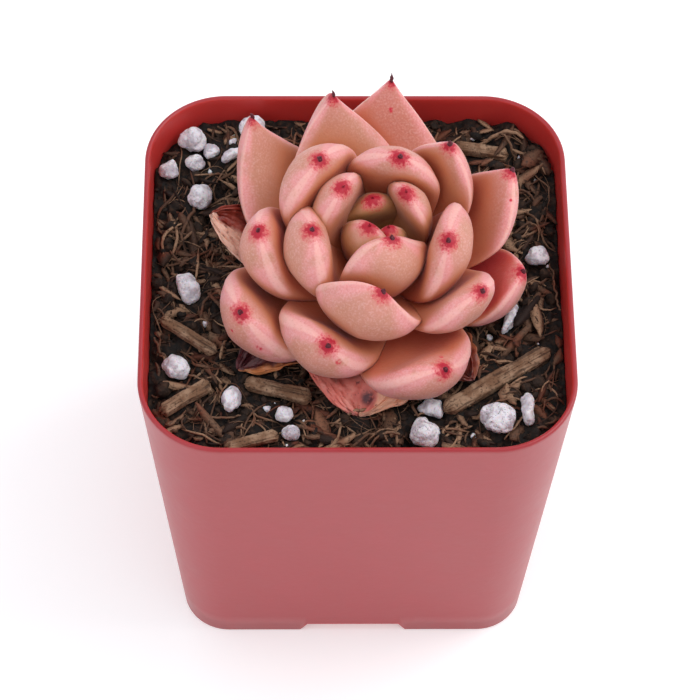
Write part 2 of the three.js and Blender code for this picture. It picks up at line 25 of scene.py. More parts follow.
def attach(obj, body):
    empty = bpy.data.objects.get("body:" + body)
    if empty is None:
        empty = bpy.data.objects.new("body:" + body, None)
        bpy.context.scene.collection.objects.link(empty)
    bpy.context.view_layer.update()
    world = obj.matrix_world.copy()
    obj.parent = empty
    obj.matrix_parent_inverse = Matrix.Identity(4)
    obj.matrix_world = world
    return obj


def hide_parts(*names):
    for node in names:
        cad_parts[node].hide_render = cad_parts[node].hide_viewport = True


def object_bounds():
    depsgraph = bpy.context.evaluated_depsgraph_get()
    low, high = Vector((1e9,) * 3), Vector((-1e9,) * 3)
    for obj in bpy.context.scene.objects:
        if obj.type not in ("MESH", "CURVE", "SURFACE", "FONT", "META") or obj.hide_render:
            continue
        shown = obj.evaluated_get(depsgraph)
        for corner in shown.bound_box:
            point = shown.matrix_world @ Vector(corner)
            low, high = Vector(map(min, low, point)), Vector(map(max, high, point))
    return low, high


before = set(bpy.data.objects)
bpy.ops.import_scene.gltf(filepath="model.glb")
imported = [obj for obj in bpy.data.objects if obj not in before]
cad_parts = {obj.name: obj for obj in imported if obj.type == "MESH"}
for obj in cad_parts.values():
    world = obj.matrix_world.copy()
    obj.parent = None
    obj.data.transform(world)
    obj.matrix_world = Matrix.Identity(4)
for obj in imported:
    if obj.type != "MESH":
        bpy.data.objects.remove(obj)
CAD_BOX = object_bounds()

log = logging.getLogger("succulent")

MM = 0.001
BODY = "root"
GOLDEN_ANGLE = math.pi * (3 - math.sqrt(5))
# A direction that few rays and tubes follow, from which a sideways one is worked out
SLANTED = np.array([0.31, 0.17, 0.93])
Colour = tuple[float, float, float]
Spot = tuple[float, float, float, float]
Points = np.ndarray
Faces = list[tuple[int, ...]]
Socket = bpy.types.NodeSocket
Value = float | Socket


class Slot(Enum):
    """Names of the material slots for the kinds of piece made here."""

    POT = "pot_plastic"
    SOIL = "soil"
    LEAF = "leaf"
    HEART = "heart_leaf"
    DRY = "dry_leaf"
    BARK = "bark"
    PERLITE = "perlite"


def linear(red: int, green: int, blue: int) -> Colour:
    """Turns a screen colour into the linear colour that a shader takes.

    Args:
        red: Red, 0 to 255.
        green: Green, 0 to 255.
        blue: Blue, 0 to 255.

    Returns:
        The same colour in linear light, 0 to 1.
    """
    shares = np.array([red, green, blue]) / 255
    low = shares / 12.92
    high = ((shares + 0.055) / 1.055) ** 2.4
    return tuple(float(value) for value in np.where(shares <= 0.04045, low, high))


def lerp(first: float, last: float, share: float) -> float:
    """Returns the value at a share of the way from first to last."""
    return first + (last - first) * share


def smooth_step(value: np.ndarray | float, low: float, high: float) -> np.ndarray | float:
    """Returns 0 below low, 1 above high, and a smooth rise between them."""
    share = np.clip((value - low) / (high - low), 0, 1)
    return share * share * (3 - 2 * share)


# Meshes


def make_mesh(name: str, points: Points, faces: Faces) -> bpy.types.Mesh:
    """Makes a smooth-shaded mesh.

    Args:
        name: Name of the mesh.
        points: Corner positions in millimetres, one row each.
        faces: Corner numbers of each face, counterclockwise from outside.

    Returns:
        The mesh, in metres.
    """
    mesh = bpy.data.meshes.new(name)
    mesh.from_pydata((np.asarray(points) * MM).tolist(), [], faces)
    mesh.update()
    mesh.polygons.foreach_set("use_smooth", [True] * len(mesh.polygons))
    return mesh


def add_object(name: str, mesh: bpy.types.Mesh) -> bpy.types.Object:
    """Puts a mesh into the scene.

    Args:
        name: Name of the object.
        mesh: Its mesh.

    Returns:
        The new object, at the origin.
    """
    thing = bpy.data.objects.new(name, mesh)
    bpy.context.scene.collection.objects.link(thing)
    return thing


def seat(piece: bpy.types.Object, slot: Slot, finish: bpy.types.Material, *nodes: str) -> None:
    """Gives a piece its finish and its body, and hides the frame's nodes that it stands for.

    Args:
        piece: The piece.
        slot: Not used.
        finish: Its material.
        *nodes: Names of the frame's nodes that it stands for.
    """
    piece.data.materials.clear()
    piece.data.materials.append(finish)
    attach(piece, BODY)
    if nodes:
        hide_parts(*nodes)
    log.info("%s: %d faces", piece.name, len(piece.data.polygons))


def positions(mesh: bpy.types.Mesh) -> Points:
    """Reads a mesh's corner positions.

    Args:
        mesh: The mesh.

    Returns:
        The positions in millimetres, one row each.
    """
    flat = np.empty(len(mesh.vertices) * 3)
    mesh.vertices.foreach_get("co", flat)
    return flat.reshape(-1, 3) / MM


def normals(mesh: bpy.types.Mesh) -> Points:
    """Reads the outward direction at each corner of a mesh.

    Args:
        mesh: The mesh.

    Returns:
        The directions, one row each.
    """
    flat = np.empty(len(mesh.vertices) * 3)
    mesh.vertex_normals.foreach_get("vector", flat)
    return flat.reshape(-1, 3)


def move_corners(mesh: bpy.types.Mesh, points: Points) -> None:
    """Moves a mesh's corners to new positions, given in millimetres."""
    mesh.vertices.foreach_set("co", (points * MM).ravel())
    mesh.update()


def store(mesh: bpy.types.Mesh, name: str, values: Sequence[float] | np.ndarray) -> None:
    """Stores one number for each corner of a mesh, for its material to read."""
    layer = mesh.attributes.new(name, "FLOAT", "POINT")
    layer.data.foreach_set("value", np.asarray(values, dtype=np.float32))


def surface_tree(meshes: Iterable[bpy.types.Mesh]) -> BVHTree:
    """Gathers meshes into one search tree.

    Args:
        meshes: The meshes.

    Returns:
        The tree, in millimetres.
    """
    corners: list[list[float]] = []
    faces: Faces = []
    for mesh in meshes:
        start = len(corners)
        corners.extend(positions(mesh).tolist())
        faces.extend(tuple(start + corner for corner in face.vertices) for face in mesh.polygons)
    return BVHTree.FromPolygons(corners, faces)


def changed_by(mesh: bpy.types.Mesh, set_up: Callable[[bpy.types.Object], None]) -> bpy.types.Mesh:
    """Runs modifiers on a mesh.

    Args:
        mesh: The mesh to start from.
        set_up: Adds the modifiers to the object that it is given.

    Returns:
        A new mesh with the modifiers applied.
    """
    worker = add_object("worker", mesh)
    set_up(worker)
    graph = bpy.context.evaluated_depsgraph_get()
    result = bpy.data.meshes.new_from_object(worker.evaluated_get(graph))
    bpy.data.objects.remove(worker)
    return result


def largest_part(mesh: bpy.types.Mesh) -> None:
    """Deletes everything but the mesh's largest connected part.

    Args:
        mesh: The mesh, which is changed.
    """
    work = bmesh.new()
    work.from_mesh(mesh)
    left = set(work.verts)
    parts = []
    while left:
        start = left.pop()
        part = {start}
        edge_of_part = [start]
        while edge_of_part:
            corner = edge_of_part.pop()
            for edge in corner.link_edges:
                other = edge.other_vert(corner)
                if other in left:
                    left.remove(other)
                    part.add(other)
                    edge_of_part.append(other)
        parts.append(part)
    parts.sort(key=len)
    scraps = [corner for part in parts[:-1] for corner in part]
    bmesh.ops.delete(work, geom=scraps, context="VERTS")
    work.to_mesh(mesh)
    work.free()


def loft(rings: Sequence[Points], first: Points, last: Points) -> tuple[Points, Faces]:
    """Stretches a closed skin over rings of points.

    Args:
        rings: Rings of equal length, each counterclockwise seen from the last ring.
        first: The point that closes the first ring.
        last: The point that closes the last ring.

    Returns:
        The skin's points and faces. The first point is the first end.
    """
    sides = len(rings[0])
    points = np.vstack([first, *rings, last])
    faces: Faces = []
    for side in range(sides):
        after = (side + 1) % sides
        faces.append((0, 1 + after, 1 + side))
        for ring in range(len(rings) - 1):
            low = 1 + ring * sides
            high = low + sides
            faces.append((low + side, low + after, high + after, high + side))
        end = 1 + (len(rings) - 1) * sides
        faces.append((end + side, end + after, len(points) - 1))
    return points, faces


def tube(route: Points, radii: Sequence[float], sides: int) -> tuple[Points, Faces]:
    """Makes a closed tube along a route.

    Args:
        route: The points that the tube follows, one row each.
        radii: The tube's radius at each of them.
        sides: Number of sides.

    Returns:
        The tube's points and faces.
    """
    ahead = np.gradient(route, axis=0)
    ahead /= np.linalg.norm(ahead, axis=1, keepdims=True)
    across = np.cross(ahead, SLANTED)
    across /= np.linalg.norm(across, axis=1, keepdims=True)
    above = np.cross(ahead, across)
    angles = np.linspace(0, 2 * math.pi, sides, endpoint=False)
    rings = []
    for centre, right, up, radius in zip(route, across, above, radii):
        ring = np.outer(np.cos(angles), right) + np.outer(np.sin(angles), up)
        rings.append(centre + radius * ring)
    return loft(rings, route[0], route[-1])


def evened(values: np.ndarray, edges: np.ndarray, rounds: int) -> np.ndarray:
    """Averages the number at each corner of a mesh with its neighbours' numbers.

    Args:
        values: One number for each corner.
        edges: The two corner numbers of each edge, one row each.
        rounds: How many times it is done.

    Returns:
        The evened numbers.
    """
    for _ in range(rounds):
        total = values.copy()
        count = np.ones(len(values))
        for near, far in (edges.T, edges.T[::-1]):
            np.add.at(total, near, values[far])
            np.add.at(count, near, 1)
        values = total / count
    return values


@dataclass
class Gathering:
    """Many small bodies gathered into one mesh, each with a tint of its own."""

    points: list[Points] = field(default_factory=list)
    faces: Faces = field(default_factory=list)
    tints: list[float] = field(default_factory=list)
    count: int = 0

    def add(self, points: Points, faces: Faces, tint: float) -> None:
        """Adds one body.

        Args:
            points: Its points in millimetres.
            faces: Its faces.
            tint: A number from 0 to 1 that its material reads.
        """
        start = len(self.tints)
        self.points.append(points)
        self.faces.extend(tuple(start + corner for corner in face) for face in faces)
        self.tints.extend([tint] * len(points))
        self.count += 1

    def mesh(self, name: str) -> bpy.types.Mesh:
        """Makes one mesh of the bodies, with a tint stored at each corner.

        Args:
            name: Name of the mesh.

        Returns:
            The mesh.
        """
        mesh = make_mesh(name, np.vstack(self.points), self.faces)
        store(mesh, "tint", self.tints)
        return mesh


# Materials


class Shader:
    """Wires the nodes of one material."""

    FIRST_COLOUR: ClassVar[int] = 6
    SECOND_COLOUR: ClassVar[int] = 7
    MIXED_COLOUR: ClassVar[int] = 2

    def __init__(self, name: str) -> None:
        """Starts a material with one Principled shader.

        Args:
            name: Name of the material.
        """
        self.material = bpy.data.materials.new(name)
        self.material.use_nodes = True
        self.tree = self.material.node_tree
        self.surface = self.tree.nodes["Principled BSDF"]
        self.place = self.tree.nodes.new("ShaderNodeTexCoord").outputs["Object"]

    def set(self, **values: float | Colour) -> None:
        """Sets the shader's own sockets.

        Args:
            **values: The values, with a low line for each space in the sockets' names.
        """
        for name, value in values.items():
            socket = self.surface.inputs[name.replace("_", " ").title().replace("Ior", "IOR")]
            is_colour = socket.type == "RGBA"
            socket.default_value = (*value, 1) if is_colour else value

    def wire(self, name: str, source: Socket) -> None:
        """Links a socket of the shader."""
        self.tree.links.new(source, self.surface.inputs[name])

    def feed(self, socket: Socket, value: Value | Colour) -> None:
        """Gives a socket a number, a colour or a link.

        Args:
            socket: The socket.
            value: The number or colour, or the socket that it is linked to.
        """
        if isinstance(value, bpy.types.NodeSocket):
            self.tree.links.new(value, socket)
        elif isinstance(value, tuple) and socket.type == "RGBA":
            socket.default_value = (*value, 1)
        else:
            socket.default_value = value

    def read(self, name: str) -> Socket:
        """Reads a number that is stored at the mesh's corners.

        Args:
            name: The name that it is stored under.

        Returns:
            The number.
        """
        node = self.tree.nodes.new("ShaderNodeAttribute")
        node.attribute_name = name
        return node.outputs["Fac"]

    def noise(self, size: float, detail: float = 3, stretch: Colour = (1, 1, 1)) -> Socket:
        """Makes a cloudy pattern.

        Args:
            size: Width of its blotches in millimetres.
            detail: How many finer layers it has.
            stretch: How often it repeats along each axis, as a share of its usual pitch.

        Returns:
            The pattern, around 0.5.
        """
        node = self.tree.nodes.new("ShaderNodeTexNoise")
        node.inputs["Scale"].default_value = 1 / (size * MM)
        node.inputs["Detail"].default_value = detail
        mapping = self.tree.nodes.new("ShaderNodeMapping")
        mapping.inputs["Scale"].default_value = stretch
        self.tree.links.new(self.place, mapping.inputs["Vector"])
        self.tree.links.new(mapping.outputs["Vector"], node.inputs["Vector"])
        return node.outputs["Fac"]

    def cells(self, size: float) -> Socket:
        """Measures the distance to the nearest of many scattered places.

        Args:
            size: The pitch of the places in millimetres.

        Returns:
            The distance as a share of that pitch.
        """
        node = self.tree.nodes.new("ShaderNodeTexVoronoi")
        node.inputs["Scale"].default_value = 1 / (size * MM)
        self.tree.links.new(self.place, node.inputs["Vector"])
        return node.outputs["Distance"]

    def math(self, operation: str, first: Value, second: Value = 0.0) -> Socket:
        """Does one sum on two numbers.

        Args:
            operation: The name of the sum, such as ADD.
            first: The first number.
            second: The second number.

        Returns:
            The result.
        """
        node = self.tree.nodes.new("ShaderNodeMath")
        node.operation = operation
        self.feed(node.inputs[0], first)
        self.feed(node.inputs[1], second)
        return node.outputs[0]

    def rise(self, value: Value, low: float, high: float, top: float = 1) -> Socket:
        """Makes a smooth change from one level to another.

        Args:
            value: The number that it follows.
            low: Where the result is 0.
            high: Where the result is top.
            top: The greatest result.

        Returns:
            The result.
        """
        node = self.tree.nodes.new("ShaderNodeMapRange")
        node.interpolation_type = "SMOOTHSTEP"
        self.feed(node.inputs["Value"], value)
        node.inputs["From Min"].default_value = min(low, high)
        node.inputs["From Max"].default_value = max(low, high)
        node.inputs["To Min"].default_value = 0 if low < high else top
        node.inputs["To Max"].default_value = top if low < high else 0
        return node.outputs["Result"]

    def blend(self, share: Value, first: Socket | Colour, second: Socket | Colour) -> Socket:
        """Mixes two colours.

        Args:
            share: How much of the second colour shows.
            first: The first colour.
            second: The second colour.

        Returns:
            The mixed colour.
        """
        node = self.tree.nodes.new("ShaderNodeMix")
        node.data_type = "RGBA"
        self.feed(node.inputs["Factor"], share)
        self.feed(node.inputs[self.FIRST_COLOUR], first)
        self.feed(node.inputs[self.SECOND_COLOUR], second)
        return node.outputs[self.MIXED_COLOUR]

    def near(self, place: Points, radius: float) -> Socket:
        """Marks a round spot.

        Args:
            place: Its middle in millimetres.
            radius: Its radius in millimetres.

        Returns:
            1 in the spot, 0 outside it, and a smooth change between them.
        """
        node = self.tree.nodes.new("ShaderNodeVectorMath")
        node.operation = "DISTANCE"
        self.tree.links.new(self.place, node.inputs[0])
        node.inputs[1].default_value = tuple(float(value) * MM for value in place)
        return self.rise(node.outputs["Value"], radius * MM, radius * MM * 0.3)

    def bump(self, height: Socket, depth: float) -> None:
        """Roughens the surface.

        Args:
            height: The pattern that is pressed into it, 0 to 1.
            depth: Its depth in millimetres.
        """
        node = self.tree.nodes.new("ShaderNodeBump")
        node.inputs["Distance"].default_value = depth * MM
        self.tree.links.new(height, node.inputs["Height"])
        self.wire("Normal", node.outputs["Normal"])


@dataclass(frozen=True)
class LeafSkin:
    """Waxy skin: peach and pink in the light, red-brown or olive where other leaves cover it: painted shade,
    partly also the deeper colour that covered skin has.
    """

    peach: Colour = linear(201, 138, 114)
    pink: Colour = linear(228, 152, 149)
    heart: Colour = linear(206, 150, 124)
    # Painted shade: the four colours below are for skin that other leaves shade, partly its own deeper colour
    # there.
    shade: Colour = linear(198, 123, 84)
    heart_shade: Colour = linear(184, 132, 84)
    depth: Colour = linear(164, 76, 48)
    heart_deep_shade: Colour = linear(134, 94, 44)
    # Painted highlight: colour of the pale line along the margin.
    crest: Colour = linear(246, 196, 184)
    speck: Colour = linear(178, 96, 88)
    flush: Colour = linear(206, 30, 60)
    blotch: Colour = linear(176, 4, 40)
    bloom: Colour = linear(242, 204, 204)

    def material(self, name: str, spots: Sequence[Spot]) -> bpy.types.Material:
        """Makes the skin.

        Args:
            name: Name of the material.
            spots: Small red spots: x, y, z and radius in millimetres.

        Returns:
            The material.
        """
        skin = Shader(name)
        shade_cover = skin.read("shade_cover")
        tip_gap = skin.read("tip_gap")
        cloud = skin.noise(3.5, 2)
        blur = skin.noise(0.55, 3)
        grain = skin.noise(0.3, 2)
        old = skin.rise(skin.read("age"), 0.75, 1.0)
        colour = skin.blend(old, self.peach, self.heart)
        front = skin.rise(skin.read("along"), 0.22, 0.0, 0.4)
        pink = skin.math("ADD", skin.rise(skin.read("margin"), 0.6, 1.0), front)
        pink = skin.math("MULTIPLY", pink, skin.rise(cloud, 0.2, 0.55))
        colour = skin.blend(skin.math("MINIMUM", pink, 1.0), colour, self.pink)
        # Painted shade: the more closely other leaves cover the skin, and a little more on the upper face,
        # the more it turns to the shade colours and then to the depth colours.
        shaded = skin.math("ADD", shade_cover, skin.math("MULTIPLY", skin.math("SUBTRACT", cloud, 0.5), 0.12))
        shaded = skin.math("ADD", shaded, skin.math("MULTIPLY", skin.read("upper"), 0.1))
        half_lit = skin.rise(shaded, 0.16, 0.56, 0.88)
        colour = skin.blend(half_lit, colour, skin.blend(old, self.shade, self.heart_shade))
        unlit = skin.rise(shaded, 0.44, 0.95, 0.85)
        colour = skin.blend(unlit, colour, skin.blend(old, self.depth, self.heart_deep_shade))
        flushed = skin.math("MULTIPLY", skin.read("flush"), skin.math("MULTIPLY", skin.read("upper"), 0.6))
        colour = skin.blend(flushed, colour, self.flush)
        # Painted highlight: a pale line along the margin, fading where the painted shade deepens.
        crest = skin.rise(skin.read("margin"), 0.975, 1.0, 0.45)
        crest = skin.math("MULTIPLY", crest, skin.rise(shaded, 0.6, 0.2))
        colour = skin.blend(crest, colour, self.crest)
        # Pale dots of waxy bloom, left out where the painted shade is deep.
        dust = skin.math("MULTIPLY", skin.rise(grain, 0.45, 0.7, 0.22), skin.rise(shade_cover, 0.4, 0.0))
        colour = skin.blend(dust, colour, self.bloom)
        colour = skin.blend(skin.rise(grain, 0.42, 0.26, 0.25), colour, self.speck)
        ragged = skin.math("ADD", tip_gap, skin.math("MULTIPLY", skin.math("SUBTRACT", blur, 0.5), 2.2))
        dots = skin.rise(skin.cells(0.42), 0.42, 0.2, 0.75)
        dots = skin.math("MULTIPLY", dots, skin.rise(tip_gap, 2.6, 1.3))
        colour = skin.blend(skin.rise(ragged, 2.4, 0.9, 0.7), colour, self.flush)
        colour = skin.blend(dots, colour, self.flush)
        colour = skin.blend(skin.rise(ragged, 1.4, 0.8, 0.95), colour, self.blotch)
        for x, y, z, radius in spots:
            spot = skin.math("MULTIPLY", skin.near((x, y, z), radius), skin.rise(blur, 0.35, 0.6))
            colour = skin.blend(spot, colour, self.flush)
        skin.wire("Base Color", colour)
        skin.wire("Roughness", skin.math("ADD", skin.math("MULTIPLY", cloud, 0.2), 0.38))
        skin.set(subsurface_weight=0.3, subsurface_scale=0.001, subsurface_radius=(1.0, 0.4, 0.25))
        skin.set(sheen_weight=0.15, sheen_roughness=0.45, sheen_tint=linear(235, 205, 225))
        skin.set(specular_ior_level=0.4)
        skin.bump(skin.math("ADD", grain, skin.math("MULTIPLY", blur, 1.5)), 0.03)
        return skin.material


@dataclass(frozen=True)
class PointSkin:
    """The dried point at a leaf's tip, dark brown with a grey crust, or crimson while it is young."""

    dark: Colour = linear(88, 14, 34)
    crust: Colour = linear(122, 66, 70)
    young: Colour = linear(150, 14, 40)

    def material(self) -> bpy.types.Material:
        """Makes the finish.

        Returns:
            The material.
        """
        point = Shader("dried_point")
        crust = point.rise(point.noise(0.28, 3), 0.54, 0.66)
        colour = point.blend(crust, self.dark, self.crust)
        colour = point.blend(point.rise(point.read("tint"), 0.4, 0.6), colour, self.young)
        point.wire("Base Color", colour)
        point.set(roughness=0.55)
        point.bump(crust, 0.08)
        return point.material


@dataclass(frozen=True)
class ShrunkenSkin:
    """Skin of a leaf that has dried up: creased, with a thin pale fold along one side.

    The patch is a dark spot, and it stays out of sight where it isn't given.
    """

    face: Colour = linear(204, 104, 92)
    fold: Colour = linear(228, 168, 138)
    pale: Colour = linear(232, 160, 146)
    dark: Colour = linear(84, 30, 40)
    fold_from: float = 0.3
    patch: Spot = (0, 0, 0, 1)

    def material(self, name: str) -> bpy.types.Material:
        """Makes the finish.

        Args:
            name: Name of the material.

        Returns:
            The material.
        """
        skin = Shader(name)
        cloud = skin.noise(2.6, 3)
        crease = skin.noise(0.7, 4)
        wander = skin.math("MULTIPLY", skin.math("SUBTRACT", cloud, 0.5), 0.8)
        folded = skin.math("ADD", skin.read("side"), wander)
        colour = skin.blend(skin.rise(cloud, 0.4, 0.7, 0.6), self.face, self.pale)
        colour = skin.blend(skin.rise(folded, self.fold_from, self.fold_from + 0.25), colour, self.fold)
        # Painted shade: darker in the low parts of the crease pattern that the bump presses in.
        colour = skin.blend(skin.rise(crease, 0.4, 0.26, 0.7), colour, self.dark)
        # Painted shade: darker where other leaves cover it.
        colour = skin.blend(skin.rise(skin.read("shade_cover"), 0.5, 0.95, 0.5), colour, self.dark)
        spot = skin.math("MULTIPLY", skin.near(self.patch[:3], self.patch[3]), skin.rise(crease, 0.3, 0.5))
        colour = skin.blend(spot, colour, self.dark)
        skin.wire("Base Color", colour)
        skin.wire("Roughness", skin.math("ADD", skin.math("MULTIPLY", cloud, 0.3), 0.35))
        skin.set(subsurface_weight=0.15, subsurface_scale=0.0006, subsurface_radius=(1.0, 0.3, 0.2))
        skin.bump(crease, 0.15)
        return skin.material


@dataclass(frozen=True)
class MixFinish:
    """Damp peat: nearly black, with browner crumbs."""

    dark: Colour = linear(17, 12, 10)
    brown: Colour = linear(66, 46, 34)

    def material(self, name: str, tinted: bool) -> bpy.types.Material:
        """Makes the finish.

        Args:
            name: Name of the material.
            tinted: Whether the bodies that wear it have tints of their own.

        Returns:
            The material.
        """
        peat = Shader(name)
        crumbs = peat.noise(0.9, 4)
        share = peat.rise(crumbs, 0.42, 0.75, 0.8)
        if tinted:
            share = peat.math("ADD", share, peat.math("MULTIPLY", peat.read("tint"), 0.4))
        peat.wire("Base Color", peat.blend(share, self.dark, self.brown))
        peat.wire("Roughness", peat.math("ADD", peat.math("MULTIPLY", crumbs, 0.4), 0.6))
        peat.set(specular_ior_level=0.3)
        peat.bump(crumbs, 0.5)
        return peat.material


@dataclass(frozen=True)
class FibreFinish:
    """Plant fibre and split bark: greyish tan to dark brown, some of it red-brown, with a grain."""

    dark: Colour = linear(38, 24, 19)
    mid: Colour = linear(94, 66, 50)
    tan: Colour = linear(158, 124, 98)
    red: Colour = linear(112, 58, 38)

    def material(self, name: str) -> bpy.types.Material:
        """Makes the finish.

        Args:
            name: Name of the material.

        Returns:
            The material.
        """
        wood = Shader(name)
        tint = wood.read("tint")
        grain = wood.noise(0.4, 4)
        colour = wood.blend(wood.rise(tint, 0.0, 0.5), self.dark, self.mid)
        colour = wood.blend(wood.rise(tint, 0.5, 1.0), colour, self.tan)
        colour = wood.blend(wood.rise(wood.noise(4, 1), 0.52, 0.66, 0.6), colour, self.red)
        colour = wood.blend(wood.rise(grain, 0.5, 0.3, 0.7), colour, self.dark)
        wood.wire("Base Color", colour)
        wood.wire("Roughness", wood.math("ADD", wood.math("MULTIPLY", grain, 0.3), 0.6))
        wood.set(specular_ior_level=0.3)
        wood.bump(grain, 0.15)
        return wood.material


@dataclass(frozen=True)
class BarkFinish:
    """Weathered bark: greyish tan, darker in its grooves and where it was cracked across."""

    groove: Colour = linear(54, 36, 28)
    brown: Colour = linear(118, 86, 64)
    pale: Colour = linear(156, 126, 102)

    def material(self) -> bpy.types.Material:
        """Makes the finish.

        Returns:
            The material.
        """
        bark = Shader("bark")
        grain = bark.noise(0.4, 4)
        colour = bark.blend(bark.rise(bark.noise(1.8, 3), 0.38, 0.66), self.brown, self.pale)
        colour = bark.blend(bark.rise(bark.read("groove"), 0.45, 1.0, 0.75), colour, self.groove)
        colour = bark.blend(bark.rise(grain, 0.47, 0.3, 0.75), colour, self.groove)
        bark.wire("Base Color", colour)
        bark.set(roughness=0.85, specular_ior_level=0.3)
        bark.bump(grain, 0.15)
        return bark.material


@dataclass(frozen=True)
class PerliteFinish:
    """Expanded volcanic glass: white, with painted grey shade in patches and hollows, and dark specks of peat
    on some grains.
    """

    white: Colour = linear(226, 222, 228)
    shade: Colour = linear(160, 150, 160)
    dust: Colour = linear(70, 58, 56)

    def material(self, name: str, specks: bool) -> bpy.types.Material:
        """Makes the finish.

        Args:
            name: Name of the material.
            specks: Whether specks of peat stick to it.

        Returns:
            The material.
        """
        grain = Shader(name)
        pits = grain.noise(0.45, 4)
        # Painted shade: grey in broad patches and in the pits that the bump presses in.
        colour = grain.blend(grain.rise(grain.noise(1.6, 3), 0.56, 0.36, 0.7), self.white, self.shade)
        colour = grain.blend(grain.rise(pits, 0.44, 0.3, 0.7), colour, self.shade)
        if specks:
            speck = grain.rise(grain.noise(0.3, 2), 0.37, 0.3, 0.9)
            colour = grain.blend(speck, colour, self.dust)
        grain.wire("Base Color", colour)
        grain.set(roughness=0.8, specular_ior_level=0.4)
        grain.set(subsurface_weight=0.2, subsurface_scale=0.0005)
        grain.bump(pits, 0.25)
        return grain.material


@dataclass(frozen=True)
class PotPlastic:
    """Thin moulded plastic, terracotta red, with a satin gloss and faint mottling, and an inner wall painted
    lighter for light that shines through the thin wall.
    """

    red: Colour = linear(160, 34, 42)
    worn: Colour = linear(168, 52, 60)
    # Painted light: the inner wall's lighter red stands in for light shining through the thin wall.
    inner: Colour = linear(200, 58, 54)

    def material(self) -> bpy.types.Material:
        """Makes the finish.

        Returns:
            The material.
        """
        plastic = Shader("pot_plastic")
        mottle = plastic.noise(6, 5)
        specks = plastic.noise(0.6, 3)
        share = plastic.rise(mottle, 0.4, 0.75, 0.4)
        share = plastic.math("ADD", share, plastic.rise(specks, 0.6, 0.8, 0.3))
        outside = plastic.blend(share, self.red, self.worn)
        plastic.wire("Base Color", plastic.blend(plastic.read("inside"), outside, self.inner))
        plastic.wire("Roughness", plastic.math("ADD", plastic.math("MULTIPLY", mottle, 0.14), 0.3))
        plastic.set(specular_ior_level=0.5, coat_weight=0.1, coat_roughness=0.2)
        plastic.set(subsurface_weight=0.25, subsurface_scale=0.0014, subsurface_radius=(1.0, 0.15, 0.12))
        plastic.bump(plastic.noise(1.4, 3), 0.02)
        return plastic.material


@dataclass(frozen=True)
class StemFinish:
    """Corky stem."""

    brown: Colour = linear(104, 76, 54)
    pale: Colour = linear(150, 120, 90)

    def material(self) -> bpy.types.Material:
        """Makes the finish.

        Returns:
            The material.
        """
        cork = Shader("stem_cork")
        grain = cork.noise(0.8, 4, (1, 1, 0.3))
        cork.wire("Base Color", cork.blend(cork.rise(grain, 0.35, 0.65), self.brown, self.pale))
        cork.set(roughness=0.85)
        cork.bump(grain, 0.2)
        return cork.material


# The pot


@dataclass(frozen=True)
class PotShape:
    """Sizes of the tapered square pot."""

    height: float = 64.3
    rim_half: float = 32.0
    rim_radius: float = 12.3
    base_half: float = 27.2
    base_radius: float = 7.3
    wall: float = 0.8

    def ring(self, z: float, inset: float, corner_steps: int, side_steps: int) -> Points:
        """Makes a ring of points round the pot.

        Args:
            z: Height of the ring.
            inset: How far it lies inside the outer wall.
            corner_steps: Steps round each corner.
            side_steps: Steps along each straight side.

        Returns:
            The ring, counterclockwise from above.
        """
        share = z / self.height
        half = lerp(self.base_half, self.rim_half, share) - inset
        radius = lerp(self.base_radius, self.rim_radius, share) - inset
        middle = half - radius
        points = []
        for quarter in range(4):
            start = quarter * math.pi / 2
            diagonal = start + math.pi / 4
            centre = middle * math.sqrt(2) * np.array([math.cos(diagonal), math.sin(diagonal)])
            for step in range(corner_steps + 1):
                angle = start + step / corner_steps * math.pi / 2
                points.append(centre + radius * np.array([math.cos(angle), math.sin(angle)]))
            along = np.array([-math.sin(start + math.pi / 2), math.cos(start + math.pi / 2)])
            corner = points[-1]
            for step in range(1, side_steps):
                points.append(corner + along * 2 * middle * step / side_steps)
        flat = np.array(points)
        return np.column_stack([flat, np.full(len(flat), z)])

    def depth_inside(self, x: float, y: float, z: float) -> float:
        """Measures how far a point lies inside the inner wall.

        Args:
            x: The point's place.
            y: The point's place.
            z: The point's height.

        Returns:
            The distance in millimetres, less than 0 outside the wall.
        """
        share = z / self.height
        half = lerp(self.base_half, self.rim_half, share) - self.wall
        radius = lerp(self.base_radius, self.rim_radius, share) - self.wall
        past_x = max(abs(x) - (half - radius), 0)
        past_y = max(abs(y) - (half - radius), 0)
        straight = half - max(abs(x), abs(y))
        return radius - math.hypot(past_x, past_y) if past_x and past_y else straight


